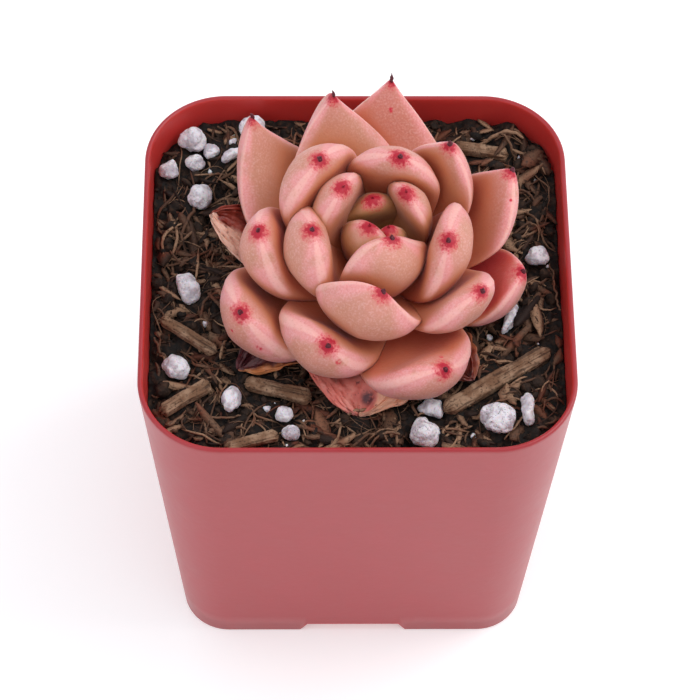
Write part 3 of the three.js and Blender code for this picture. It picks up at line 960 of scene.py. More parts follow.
@dataclass
class Pot:
    """The moulded pot: a thin wall with a rounded rim, a raised floor, notches and drain holes."""

    shape: PotShape = field(default_factory=PotShape)
    edge: float = 0.42
    floor_underside: float = 2.3
    floor_thickness: float = 1.2
    notch_top: float = 14.6
    notch_foot: float = 17.0
    drain_radius: float = 3.0
    drain_offset: float = 13.0
    floor_fillet: float = 1.6
    foot_edge: float = 0.15
    drain_span: tuple[float, float] = (1.0, 5.5)
    drain_sides: int = 40
    outer_drops: tuple[float, ...] = (2.0, 1.0)
    inner_drops: tuple[float, ...] = (1.4, 3.0)
    under_shares: tuple[float, ...] = (0.8, 0.6, 0.4)
    floor_shares: tuple[float, ...] = (0.8, 0.6, 0.4, 0.2)
    wall_steps: int = 12
    rim_steps: int = 6
    fillet_steps: int = 4
    corner_steps: int = 22
    side_steps: int = 16
    sharp_angle: float = 50.0

    def profile(self) -> list[tuple[float, float]]:
        """Draws the wall's section.

        Returns:
            Heights and insets, from the foot up outside and down inside.
        """
        height, wall, edge, foot = self.shape.height, self.shape.wall, self.edge, self.foot_edge
        floor_top = self.floor_underside + self.floor_thickness
        section = [(self.floor_underside, wall), (foot, wall), (0.0, wall - foot), (0.0, foot), (foot, 0.0)]
        section += [(height * step / self.wall_steps, 0.0) for step in range(1, self.wall_steps)]
        section += [(height - drop, 0.0) for drop in self.outer_drops]
        for step in range(self.rim_steps + 1):
            angle = step / self.rim_steps * math.pi
            section.append((height - edge + edge * math.sin(angle), wall / 2 - wall / 2 * math.cos(angle)))
        section += [(height - drop, wall) for drop in self.inner_drops]
        section += [(height * step / self.wall_steps, wall) for step in range(self.wall_steps - 1, 1, -1)]
        for step in range(self.fillet_steps + 1):
            angle = step / self.fillet_steps * math.pi / 2
            drop = self.floor_fillet * (1 - math.sin(angle))
            section.append((floor_top + drop, wall + self.floor_fillet * (1 - math.cos(angle))))
        return section

    def cutters(self) -> list[bpy.types.Mesh]:
        """Makes what is cut out of the pot.

        Returns:
            The prisms for the notches and the cylinders for the drain holes.
        """
        half, wall = self.shape.base_half, self.shape.wall
        low, high = self.drain_span
        cuts = []
        for quarter in range(4):
            turn = Matrix.Rotation(quarter * math.pi / 2, 3, "Z")
            foot, top = self.notch_foot / 2, self.notch_top / 2
            outline = [(-foot, -1), (foot, -1), (foot, 0), (top, self.floor_underside)]
            outline += [(-top, self.floor_underside), (-foot, 0)]
            near = [Vector((x, -half - 1, z)) for x, z in outline]
            far = [Vector((x, -half + wall + 1, z)) for x, z in outline]
            count = len(outline)
            points = np.array([turn @ point for point in near + far])
            faces: Faces = [tuple(range(count)), tuple(range(2 * count - 1, count - 1, -1))]
            for side in range(count):
                after = (side + 1) % count
                faces.append((side, side + count, after + count, after))
            cuts.append(make_mesh("notch", points, faces))
            centre = np.array(turn @ Vector((self.drain_offset, self.drain_offset, 0)))
            angles = np.linspace(0, 2 * math.pi, self.drain_sides, endpoint=False)
            circle = np.column_stack([np.cos(angles), np.sin(angles), np.zeros(self.drain_sides)])
            rings = [centre + self.drain_radius * circle + [0, 0, z] for z in self.drain_span]
            hole = loft(rings, centre + [0, 0, low], centre + [0, 0, high])
            cuts.append(make_mesh("drain", *hole))
        return cuts

    def build(self) -> None:
        """Builds and dresses the pot."""
        rings = [self.shape.ring(z, inset, self.corner_steps, self.side_steps) for z, inset in self.profile()]
        under = np.array([0, 0, self.floor_underside])
        floor = np.array([0, 0, self.floor_underside + self.floor_thickness])
        for share in self.under_shares:
            rings.insert(0, self.shrunk(rings[0], share))
        for share in self.floor_shares:
            rings.append(self.shrunk(rings[-1], share))
        mesh = make_mesh("pot_wall", *loft(rings, under, floor))
        mesh = cut_by(mesh, self.cutters())
        mesh.set_sharp_from_angle(angle=math.radians(self.sharp_angle))
        depths = [self.shape.depth_inside(*point) + self.shape.wall for point in positions(mesh)]
        # Marks the inner wall, which the plastic paints lighter for light shining through the wall.
        store(mesh, "inside", smooth_step(np.array(depths), self.shape.wall * 0.7, self.shape.wall))
        seat(add_object("pot_wall", mesh), Slot.POT, PotPlastic().material(), "pot")

    def shrunk(self, ring: Points, share: float) -> Points:
        """Returns a ring drawn in towards the axis."""
        return ring * [share, share, 1]


def cut_by(mesh: bpy.types.Mesh, cutters: Sequence[bpy.types.Mesh]) -> bpy.types.Mesh:
    """Cuts closed meshes out of a closed mesh.

    Args:
        mesh: The mesh to cut.
        cutters: The meshes to cut away.

    Returns:
        What is left of the mesh.
    """
    tools = [add_object("cutter", cutter) for cutter in cutters]

    def set_up(worker: bpy.types.Object) -> None:
        """Adds one cut for each cutter.

        Args:
            worker: The object that is cut.
        """
        for tool in tools:
            cut = worker.modifiers.new("cut", "BOOLEAN")
            cut.operation = "DIFFERENCE"
            cut.solver = "MANIFOLD"
            cut.object = tool

    result = changed_by(mesh, set_up)
    for tool in tools:
        bpy.data.objects.remove(tool)
    return result


# The leaves


@dataclass(frozen=True)
class TipShape:
    """How a leaf swells from its dried point. Lengths are shares of the leaf's length."""

    widest_at: float
    shoulder_power: float
    bluntness: float
    face_full_at: float
    face_rise: float
    face_power: float
    face_fade: float


POINTED = TipShape(0.5, 1.65, 1.12, 0.38, 0.9, 1.05, 0.0)
BLUNT = TipShape(0.4, 2.0, 0.62, 0.15, 0.6, 0.6, 0.45)
HOODED = TipShape(0.42, 1.9, 0.85, 0.15, 0.6, 0.7, 0.45)
SHRUNKEN = TipShape(0.35, 1.9, 0.65, 0.38, 0.9, 1.05, 0.0)


@dataclass(frozen=True)
class LeafForm:
    """The form of one leaf, in millimetres and degrees, as the frame's leaves have it."""

    heading: float
    reach: float
    tip_height: float
    width: float
    curl: float
    slope: float
    root_radius: float
    root_height: float
    belly: float
    face: float
    tip: TipShape
    cup: float = 0.0
    side_step: float = 0.0
    roll: float = 0.0
    wave: float = 0.0
    keel: float = 0.0
    crest: float = 0.0

    ROOT_WIDTH_SHARE: ClassVar[float] = 0.5
    THICKEST_AT: ClassVar[float] = 0.38
    BELLY_ROUNDING: ClassVar[tuple[float, float]] = (2.4, 0.75)
    BELLY_POWER: ClassVar[float] = 1.05
    FACE_ROUNDING: ClassVar[float] = 2.0
    FACE_FADE_SPAN: ClassVar[tuple[float, float]] = (0.15, 0.6)
    ROOT_THINNING: ClassVar[float] = 0.3
    MIDRIB_PULL: ClassVar[float] = 0.42
    TIP_CROWDING: ClassVar[float] = 1.6
    WAVES_ALONG: ClassVar[float] = 17.0
    WAVES_IN_SKIN: ClassVar[tuple[float, float]] = (5.0, 9.0)
    MARGIN_SPAN: ClassVar[tuple[float, float]] = (0.97, 1.0)
    CREST_SPAN: ClassVar[tuple[float, float]] = (0.02, 0.2)

    def shoulder(self, along: np.ndarray) -> np.ndarray:
        """Works out how wide the leaf is, seen from above.

        Args:
            along: Shares of the length from the tip.

        Returns:
            Shares of the greatest width.
        """
        widest = self.tip.widest_at
        front = 1 - (1 - np.minimum(along / widest, 1)) ** self.tip.shoulder_power
        past = np.maximum(along - widest, 0) / (1 - widest)
        behind = 1 - (1 - self.ROOT_WIDTH_SHARE) * past**2
        return np.where(along < widest, front**self.tip.bluntness, behind)

    def belly_share(self, along: np.ndarray) -> np.ndarray:
        """Works out how full the belly is.

        Args:
            along: Shares of the length from the tip.

        Returns:
            Shares of the belly's greatest depth.
        """
        inner, outer = self.BELLY_ROUNDING
        front = (1 - (1 - np.minimum(along / self.THICKEST_AT, 1)) ** inner) ** outer
        past = np.maximum(along - self.THICKEST_AT, 0) / (1 - self.THICKEST_AT)
        return np.where(along < self.THICKEST_AT, front, 1 - self.ROOT_THINNING * past**2)

    def face_share(self, along: np.ndarray) -> np.ndarray:
        """Works out how full the upper face is.

        Args:
            along: Shares of the length from the tip.

        Returns:
            Shares of the face's greatest height.
        """
        front = 1 - (1 - np.minimum(along / self.tip.face_full_at, 1)) ** self.FACE_ROUNDING
        fade = self.tip.face_fade * smooth_step(along, *self.FACE_FADE_SPAN)
        return front**self.tip.face_rise * (1 - fade)

    def midrib(self, axis: Points, along: np.ndarray) -> tuple[Points, Points]:
        """Follows the midrib.

        Args:
            axis: The rosette's axis, x and y.
            along: Shares of the length from the tip.

        Returns:
            The midrib's points and its directions towards the tip.
        """
        turn = math.radians(self.heading)
        outward = np.array([math.cos(turn), math.sin(turn), 0])
        up = np.array([0, 0, 1.0])
        base = np.array([*axis, 0])
        root = base + outward * self.root_radius + up * self.root_height
        tip = base + outward * self.reach + up * self.tip_height
        pull = self.MIDRIB_PULL * np.linalg.norm(tip - root)
        slope, curl = math.radians(self.slope), math.radians(self.curl)
        leave = root + pull * (math.cos(slope) * outward + math.sin(slope) * up)
        meet = tip - pull * (math.cos(curl) * outward + math.sin(curl) * up)
        t = (1 - along)[:, None]
        points = (1 - t) ** 3 * root + 3 * (1 - t) ** 2 * t * leave + 3 * (1 - t) * t**2 * meet + t**3 * tip
        ways = (1 - t) ** 2 * (leave - root) + 2 * (1 - t) * t * (meet - leave) + t**2 * (tip - meet)
        return points, ways / np.linalg.norm(ways, axis=1, keepdims=True)

    def surface(self, axis: Points, steps: int, sides: int) -> tuple[Points, Faces, dict[str, np.ndarray]]:
        """Makes the leaf's skin.

        Args:
            axis: The rosette's axis, x and y.
            steps: Rings from tip to root.
            sides: Points round each ring.

        Returns:
            The points, the faces, and what the skin's material reads at each point.
        """
        turn = math.radians(self.heading)
        roll = math.radians(self.roll)
        sideways = np.array([-math.sin(turn), math.cos(turn), 0])
        along = (np.arange(0, steps + 1) / steps) ** self.TIP_CROWDING
        centres, ways = self.midrib(axis, along)
        pull = self.MIDRIB_PULL * np.linalg.norm(centres[0] - centres[-1])
        centres = centres + np.outer(self.side_step * (1 - along) ** 3, sideways)
        centres[:, 2] += self.wave * np.sin(self.WAVES_ALONG * along + self.heading)
        lean = 3 * self.side_step * (1 - along) ** 2 * self.MIDRIB_PULL / pull
        across = sideways - ways * lean[:, None]
        across /= np.linalg.norm(across, axis=1, keepdims=True)
        above = np.cross(ways, sideways)
        across, above = (
            across * math.cos(roll) + above * math.sin(roll),
            above * math.cos(roll) - across * math.sin(roll),
        )
        angles = np.linspace(0, 2 * math.pi, sides, endpoint=False)[::-1]
        side, height = np.cos(angles), np.sin(angles)
        side_waves, length_waves = self.WAVES_IN_SKIN
        rings, table = [], []
        for step in range(1, steps + 1):
            here = along[step]
            half = self.width / 2 * self.shoulder(here)
            keel = 1 + self.keel * (1 - np.abs(side)) ** 2 * (1 - here)
            full = self.belly * self.belly_share(here) * keel
            thickness = self.face * self.face_share(here) * np.maximum(height, 0) ** self.tip.face_power
            thickness = thickness - full * np.maximum(-height, 0) ** self.BELLY_POWER
            thickness = thickness + self.cup * half * side**2
            thickness = thickness + self.wave * np.sin(side_waves * side + length_waves * here + self.heading)
            lip = self.crest * smooth_step(np.abs(side), *self.MARGIN_SPAN)
            lip = lip * smooth_step(here, *self.CREST_SPAN)
            out = half * side + lip * np.sign(side)
            ring = centres[step] + np.outer(out, across[step]) + np.outer(thickness, above[step])
            rings.append(ring)
            table.append(np.column_stack([np.full(sides, here), side, height]))
        points, faces = loft(rings, centres[0], centres[-1])
        values = np.vstack([[0, 0, 0], *table, [1, 0, 0]])
        reads = {
            "along": values[:, 0],
            "side": values[:, 1],
            "margin": np.abs(values[:, 1]),
            "upper": smooth_step(values[:, 2], 0.0, 0.6) * smooth_step(values[:, 0], 0.01, 0.1),
        }
        return points, faces, reads


@dataclass(frozen=True)
class LivePlace:
    """Where one live leaf stands on the spiral, and how it is turned from it."""

    place: int
    reach: float
    rise: float
    width: float
    curl: float
    belly: float
    stray: float = 0.0
    sweep: float = 0.0
    roll: float = 0.0
    flush: float = 0.0
    face: float = 2.6
    tip: TipShape = BLUNT


@dataclass(frozen=True)
class DryPlace:
    """Where one dried leaf lies under the rosette."""

    side: str
    heading: float
    reach: float
    rise: float
    width: float
    slope: float
    curl: float
    wave: float
    skin: ShrunkenSkin


LIVE_LEAVES = (
    LivePlace(0, reach=27.8, rise=15.4, width=16.5, curl=64, belly=5, sweep=-6, face=1.9, tip=POINTED),
    LivePlace(1, reach=21.8, rise=9.8, width=13.5, curl=58, belly=4, stray=-8, sweep=3, flush=1.0, face=1.4),
    LivePlace(2, reach=24.4, rise=11.4, width=17.2, curl=72, belly=5.2, stray=-5.5, sweep=4, face=2.8),
    LivePlace(3, reach=25.6, rise=17.6, width=19, curl=66, belly=5, stray=7, sweep=-3, flush=0.35, face=1.9,
              tip=POINTED),
    LivePlace(4, reach=23.9, rise=10.2, width=16.4, curl=69, belly=4.4, stray=-8, sweep=8, roll=4, flush=0.3),
    LivePlace(6, reach=21.5, rise=17.2, width=13.8, curl=64, belly=3.4, sweep=5, flush=0.2, face=1.5,
              tip=HOODED),
    LivePlace(7, reach=21.4, rise=13.4, width=15.4, curl=79, belly=4.6, stray=3, sweep=9, roll=-8, face=2.8),
    LivePlace(8, reach=21, rise=20.8, width=16, curl=80, belly=5, stray=2.5, sweep=-3, face=1.9, tip=POINTED),
    LivePlace(9, reach=19.1, rise=16.3, width=13.4, curl=76, belly=2.9, stray=-9, sweep=5),
    LivePlace(10, reach=18.2, rise=17.4, width=15.2, curl=84, belly=4.8, stray=-2, flush=0.2),
    LivePlace(11, reach=14.8, rise=20.8, width=13, curl=84, belly=3.8, stray=-5, face=1.3, tip=HOODED),
    LivePlace(12, reach=14.4, rise=19.5, width=15.8, curl=97, belly=4.8, stray=-3, sweep=13, roll=-8,
              face=0.7),
    LivePlace(13, reach=11.3, rise=21.6, width=16, curl=108, belly=4.6, stray=6, sweep=-2),
    LivePlace(14, reach=11, rise=19.4, width=15.6, curl=92, belly=3.8, stray=-27, sweep=-12, roll=6),
    LivePlace(15, reach=10.9, rise=20.5, width=15, curl=101, belly=4.4, stray=-14, roll=-12),
    LivePlace(16, reach=8, rise=21.7, width=13.8, curl=105, belly=3.8, stray=-9.5, sweep=-9, face=2.4),
    LivePlace(17, reach=6.1, rise=20.8, width=14.2, curl=110, belly=4.4, stray=-18, sweep=15, roll=30,
              face=2),
    LivePlace(18, reach=5.9, rise=21.4, width=12.2, curl=108, belly=3.4, stray=-6, roll=-6, face=2),
    LivePlace(19, reach=4.2, rise=20.2, width=9.6, curl=100, belly=3, stray=9, face=1.5),
    LivePlace(20, reach=2.9, rise=18.6, width=8.8, curl=98, belly=3, stray=-12, face=1.6),
    LivePlace(21, reach=3.7, rise=17.2, width=8.8, curl=84, belly=3, stray=2, face=1.5),
    LivePlace(22, reach=2.1, rise=17.4, width=5.5, curl=95, belly=2.2, stray=-32, face=1.2),
)

FRONT_SKIN = ShrunkenSkin(patch=(1.5, -20.9, 60.8, 1.6))
LEFT_SKIN = ShrunkenSkin(
    face=linear(132, 46, 34),
    pale=linear(150, 64, 48),
    fold=linear(232, 184, 164),
    fold_from=0.15,
)
# Painted shadow: its dark red face is darkened further, as it lies in the shade of the leaves above it.
RIGHT_SKIN_IN_SHADOW = ShrunkenSkin(
    face=linear(112, 44, 30),
    pale=linear(134, 60, 40),
    fold=linear(160, 92, 60),
    fold_from=0.75,
)
# Painted shadow: its face is darkened to purple-brown, as it lies in the shade of the leaves above it.
NEAR_SKIN_IN_SHADOW = ShrunkenSkin(
    face=linear(74, 28, 34),
    pale=linear(104, 48, 44),
    fold=linear(196, 124, 76),
    fold_from=0.7,
)

DRY_LEAVES = (
    DryPlace("front", 262, reach=24.4, rise=1.2, width=18.6, slope=-2, curl=-12, wave=0.5, skin=FRONT_SKIN),
    DryPlace("left", 163, reach=26.2, rise=6.6, width=10.5, slope=2, curl=34, wave=0.3, skin=LEFT_SKIN),
    DryPlace("right", 306, reach=22.6, rise=1.6, width=9, slope=-2, curl=0, wave=0.4, skin=RIGHT_SKIN_IN_SHADOW),
    DryPlace("near_left", 218, reach=26.5, rise=1.4, width=9, slope=-2, curl=0, wave=0.4, skin=NEAR_SKIN_IN_SHADOW),
)


@dataclass(frozen=True)
class Surroundings:
    """Works out how closely other leaves cover a leaf's skin, from which the leaves' materials paint shade.
    """

    rays: int = 16
    reach: float = 8.0
    lift: float = 0.2
    rounds: int = 3

    def directions(self, outward: Points) -> Points:
        """Spreads rays round each outward direction, closer together near it.

        Args:
            outward: The outward directions, one row each.

        Returns:
            The rays' directions for each row.
        """
        count = np.arange(self.rays)
        radius = np.sqrt((count + 0.5) / self.rays)
        angle = count * GOLDEN_ANGLE
        rays = np.column_stack([radius * np.cos(angle), radius * np.sin(angle), np.sqrt(1 - radius**2)])
        right = np.cross(SLANTED, outward)
        right /= np.linalg.norm(right, axis=1, keepdims=True)
        return np.einsum("rk,nkc->nrc", rays, np.stack([right, np.cross(outward, right), outward], axis=1))

    def shade_cover(self, tree: BVHTree, points: Points, outward: Points) -> np.ndarray:
        """Works out how much of the view from each point is closed off, near things most.

        Args:
            tree: What closes it off.
            points: The points.
            outward: Their outward directions.

        Returns:
            Shares from 0 to 1.
        """
        shares = np.zeros(len(points))
        starts = points + outward * self.lift
        for number, (start, ways) in enumerate(zip(starts.tolist(), self.directions(outward).tolist())):
            for way in ways:
                distance = tree.ray_cast(start, way, self.reach)[3]
                if distance is not None:
                    shares[number] += 1 - (distance / self.reach) ** 2
        return shares / self.rays

    def store(self, meshes: Sequence[bpy.types.Mesh]) -> None:
        """Stores it at the corners of every leaf, for their materials to paint shade from.

        Args:
            meshes: The leaves' meshes.
        """
        tree = surface_tree(meshes)
        for mesh in meshes:
            points, outward = positions(mesh), normals(mesh)
            flat = np.empty(len(mesh.edges) * 2, dtype=np.int32)
            mesh.edges.foreach_get("vertices", flat)
            edges = flat.reshape(-1, 2)
            store(mesh, "shade_cover", evened(self.shade_cover(tree, points, outward), edges, self.rounds))


@dataclass
class Rosette:
    """The live and dried leaves round one stem, each cut clear of those inside it."""

    axis: tuple[float, float] = (3.5, 1.0)
    soil_level: float = 59.0
    first_heading: float = 134.0
    spiral_turn: float = -138.4
    last_place: int = 22
    root_radius: tuple[float, float] = (3.2, 0.8)
    root_rise: tuple[float, float] = (1.5, 7.5)
    root_slope: tuple[float, float] = (4.0, 50.0)
    slope_power: float = 0.9
    cup: tuple[float, float] = (0.06, 0.0)
    keel: float = 0.1
    heart_from: int = 16
    young_from: int = 18
    point_length: float = 0.75
    point_radius: float = 0.34
    point_sides: int = 14
    point_bend: float = 0.3
    point_lump: float = 0.35
    point_roughness: float = 0.6
    young_point: float = 0.55
    slim_point: float = 0.75
    gap: float = 0.06
    steps: int = 56
    sides: int = 64
    dent: float = 0.16
    dent_size: float = 4.5
    dry_belly: float = 1.1
    dry_face: float = 0.7
    dry_cup: float = 0.05
    dry_sink: float = 1.0
    dry_steps: int = 90
    dry_sides: int = 96
    sharp_angle: float = 48.0
    spots: tuple[Spot, ...] = (
        (-14.3, -15.3, 65.6, 0.7),
        (-18.5, -10.6, 68.9, 0.45),
        (-18.3, -12.9, 66.5, 0.4),
        (-2.8, -20.0, 69.2, 0.7),
        (5.3, 22.9, 72.4, 0.6),
        (22.6, 5.3, 73.7, 0.35),
        (22.1, 2.1, 71.2, 0.4),
        (12.0, -18.2, 67.8, 0.5),
    )
    wrinkle: float = 0.9
    fine_wrinkle: float = 0.45
    wrinkles_across: float = 6.0
    wrinkles_along: float = 5.0
    wrinkle_slant: float = 3.0
    wrinkle_floor: float = 0.25
    fine_wrinkles: float = 14.0
    crest: float = 0.22
    top: float = CAD_BOX[1][2] / MM
    meshes: list[bpy.types.Mesh] = field(default_factory=list)
    draw: random.Random = field(default_factory=lambda: random.Random(7))

    def live_form(self, leaf: LivePlace) -> LeafForm:
        """Works out a live leaf's form, with room left for its dried point.

        Args:
            leaf: Its place on the spiral.

        Returns:
            The form.
        """
        share = leaf.place / self.last_place
        sweep, curl = math.radians(leaf.sweep), math.radians(leaf.curl)
        return LeafForm(
            heading=self.first_heading + self.spiral_turn * leaf.place + leaf.stray - leaf.sweep,
            reach=leaf.reach * math.cos(sweep) - self.point_length * math.cos(curl),
            tip_height=self.soil_level + leaf.rise - self.point_length * math.sin(curl),
            width=leaf.width,
            curl=leaf.curl,
            slope=lerp(*self.root_slope, share**self.slope_power),
            root_radius=lerp(*self.root_radius, share),
            root_height=self.soil_level + lerp(*self.root_rise, share),
            belly=leaf.belly,
            face=leaf.face,
            tip=leaf.tip,
            cup=lerp(*self.cup, share),
            side_step=leaf.reach * math.sin(sweep),
            roll=leaf.roll,
            keel=self.keel,
            crest=self.crest,
        )

    def dry_form(self, leaf: DryPlace) -> LeafForm:
        """Works out a dried leaf's form.

        Args:
            leaf: Its place.

        Returns:
            The form.
        """
        return LeafForm(
            heading=leaf.heading,
            reach=leaf.reach,
            tip_height=self.soil_level + leaf.rise,
            width=leaf.width,
            curl=leaf.curl,
            slope=leaf.slope,
            root_radius=self.root_radius[0],
            root_height=self.soil_level - self.dry_sink,
            belly=self.dry_belly,
            face=self.dry_face,
            tip=SHRUNKEN,
            cup=self.dry_cup,
            wave=leaf.wave,
        )

    def grown(self, mesh: bpy.types.Mesh) -> bpy.types.Mesh:
        """Copies a mesh and makes it larger all round by the gap.

        Args:
            mesh: The mesh.

        Returns:
            The larger copy.
        """
        copy = mesh.copy()
        move_corners(copy, positions(mesh) + normals(mesh) * self.gap)
        return copy

    def dented(self, mesh: bpy.types.Mesh, depth: float, size: float, seed: float) -> None:
        """Presses soft dents into a mesh.

        Args:
            mesh: The mesh.
            depth: Their depth.
            size: Their width.
            seed: Which of many patterns is used.
        """
        points = positions(mesh)
        offset = Vector((seed * 3.7, seed * 1.9, seed * 2.3))
        depths = [noise.noise(Vector(point) / size + offset) for point in points]
        points += normals(mesh) * np.array(depths)[:, None] * depth
        points[:, 2] = np.minimum(points[:, 2], self.top)
        move_corners(mesh, points)

    def wrinkled(self, mesh: bpy.types.Mesh, reads: dict[str, np.ndarray], seed: float) -> None:
        """Draws a dried leaf into wrinkles that run along it.

        Args:
            mesh: The uncut leaf.
            reads: What its material reads at each corner.
            seed: Which of many patterns is used.
        """
        depths = []
        for along, side, height in zip(reads["along"], reads["side"], normals(mesh)[:, 2]):
            slanted = side * self.wrinkles_across + along * self.wrinkle_slant
            face_seed = seed + math.copysign(0.2, height)
            folds = noise.noise(Vector((along * self.wrinkles_along, slanted, face_seed)))
            fine = noise.noise(Vector((along * self.fine_wrinkles, side * self.fine_wrinkles, seed)))
            fold = abs(folds) - self.wrinkle_floor
            depths.append(fold * self.wrinkle + fine * self.wrinkle * self.fine_wrinkle)
        move_corners(mesh, positions(mesh) + normals(mesh) * np.array(depths)[:, None])

    def finish_cut(self, name: str, whole: bpy.types.Mesh, cutters: list[bpy.types.Mesh],
                   reads: dict[str, np.ndarray]) -> bpy.types.Mesh:
        """Cuts a leaf clear of those inside it and stores what its material reads.

        Args:
            name: Name of the new mesh.
            whole: The uncut leaf.
            cutters: The pieces inside it, grown by the gap.
            reads: What the material reads at each corner of the uncut leaf.

        Returns:
            The cut leaf.
        """
        low, high = positions(whole).min(axis=0), positions(whole).max(axis=0)
        near = []
        for cutter in cutters:
            spread = positions(cutter)
            if (spread.min(axis=0) < high).all() and (spread.max(axis=0) > low).all():
                near.append(cutter)
        mesh = cut_by(whole.copy(), near)
        mesh.name = name
        largest_part(mesh)
        corners = positions(whole)
        faces = [tuple(face.vertices) for face in whole.polygons]
        tree = BVHTree.FromPolygons(corners.tolist(), faces)
        columns = np.column_stack(list(reads.values()))
        found = []
        for point in positions(mesh):
            place, _, number, _ = tree.find_nearest(Vector(point))
            face = faces[number]
            weights = interpolate.poly_3d_calc([Vector(corners[corner]) for corner in face], place)
            found.append(np.asarray(weights) @ columns[list(face)])
        for label, values in zip(reads, np.array(found).T):
            store(mesh, label, values)
        mesh.polygons.foreach_set("use_smooth", [True] * len(mesh.polygons))
        mesh.set_sharp_from_angle(angle=math.radians(self.sharp_angle))
        return mesh

    def point(self, tip: Points, way: Points, share: float) -> tuple[Points, Faces]:
        """Makes the dried point of one leaf.

        Args:
            tip: Where the flesh ends.
            way: The direction in which the leaf ends.
            share: How thick it is, as a share of the usual point.

        Returns:
            The point's points and faces.
        """
        stray = np.array([self.draw.uniform(-1, 1) for _ in range(3)])
        length = self.point_length * self.draw.uniform(0.75, 1.0)
        shares = np.array([-1.0, -0.5, -0.15, 0.1, 0.3, 0.5, 0.7, 0.85, 0.97])
        widths = np.array([0.8, 1.1, 1.15, 1.0, 0.85, 0.6, 0.4, 0.25, 0.1])
        route = tip + np.outer(shares * length, way)
        route += np.outer(np.maximum(shares, 0) ** 2 * length * self.point_bend, stray)
        points, faces = tube(route, self.point_radius * share * widths, self.point_sides)
        shift = Vector((self.draw.uniform(0, 99), 0, 0))
        lumps = np.array([noise.noise(Vector(point) / self.point_lump + shift) for point in points])
        repeats = [1, *[self.point_sides] * len(route), 1]
        ways = points - np.repeat(route[[0, *range(len(route)), -1]], repeats, axis=0)
        points = points + ways * lumps[:, None] * self.point_roughness
        points[:, 2] = np.minimum(points[:, 2], self.top)
        return points, faces

    def build_live(self, cutters: list[bpy.types.Mesh]) -> None:
        """Builds and dresses the live leaves and their points, from the heart outwards.

        Args:
            cutters: What the leaves are cut clear of. Each leaf is added to it, grown by the gap.
        """
        skins = {
            Slot.LEAF: LeafSkin().material("leaf_skin", self.spots),
            Slot.HEART: LeafSkin().material("heart_skin", []),
        }
        points = Gathering()
        for number in range(len(LIVE_LEAVES), 0, -1):
            leaf = LIVE_LEAVES[number - 1]
            form = self.live_form(leaf)
            corners, faces, reads = form.surface(self.axis, self.steps, self.sides)
            whole = make_mesh("whole_leaf", corners, faces)
            self.dented(whole, self.dent, self.dent_size, leaf.place)
            mesh = self.finish_cut(f"live_leaf_{number}", whole, cutters, reads)
            count = len(mesh.vertices)
            store(mesh, "tip_gap", np.linalg.norm(positions(mesh) - corners[0], axis=1))
            store(mesh, "age", np.full(count, leaf.place / self.last_place))
            store(mesh, "flush", np.full(count, leaf.flush))
            slot = Slot.HEART if leaf.place >= self.heart_from else Slot.LEAF
            seat(add_object(f"live_leaf_{number}", mesh), slot, skins[slot], f"leaf_{number}")
            cutters.append(self.grown(whole))
            self.meshes.append(mesh)
            _, ways = form.midrib(self.axis, np.array([0.0]))
            young = leaf.place >= self.young_from
            size = self.young_point if young else self.slim_point if leaf.tip is POINTED else 1.0
            points.add(*self.point(corners[0], ways[0], size), tint=float(young))
        tips = add_object("leaf_points", points.mesh("leaf_points"))
        seat(tips, Slot.LEAF, PointSkin().material())

    def build_dry(self, cutters: list[bpy.types.Mesh]) -> None:
        """Builds and dresses the dried leaves.

        Args:
            cutters: What the leaves are cut clear of. Each leaf is added to it, grown by the gap.
        """
        for leaf in DRY_LEAVES:
            corners, faces, reads = self.dry_form(leaf).surface(self.axis, self.dry_steps, self.dry_sides)
            whole = make_mesh("whole_leaf", corners, faces)
            self.wrinkled(whole, reads, leaf.heading)
            mesh = self.finish_cut(f"shrunken_leaf_{leaf.side}", whole, cutters, reads)
            piece = add_object(f"shrunken_leaf_{leaf.side}", mesh)
            seat(piece, Slot.DRY, leaf.skin.material(f"shrunken_skin_{leaf.side}"), f"dry_leaf_{leaf.side}")
            cutters.append(self.grown(whole))
            self.meshes.append(mesh)

    def build(self) -> list[bpy.types.Mesh]:
        """Builds and dresses all the leaves.

        Returns:
            The meshes of the leaves.
        """
        cutters: list[bpy.types.Mesh] = []
        self.build_live(cutters)
        self.build_dry(cutters)
        Surroundings().store(self.meshes)
        return self.meshes


# What lies on the soil


def remeshed(mesh: bpy.types.Mesh, pitch: float, rounds: int) -> bpy.types.Mesh:
    """Gives a closed mesh small even faces and softer edges.

    Args:
        mesh: The mesh.
        pitch: Width of the new faces.
        rounds: How many times it is smoothed.

    Returns:
        The new mesh.
    """

    def set_up(worker: bpy.types.Object) -> None:
        """Adds the remeshing and the smoothing.

        Args:
            worker: The object that is changed.
        """
        grid = worker.modifiers.new("grid", "REMESH")
        grid.mode = "VOXEL"
        grid.voxel_size = pitch * MM
        soften = worker.modifiers.new("soften", "SMOOTH")
        soften.iterations = rounds

    result = changed_by(mesh.copy(), set_up)
    result.polygons.foreach_set("use_smooth", [True] * len(result.polygons))
    return result


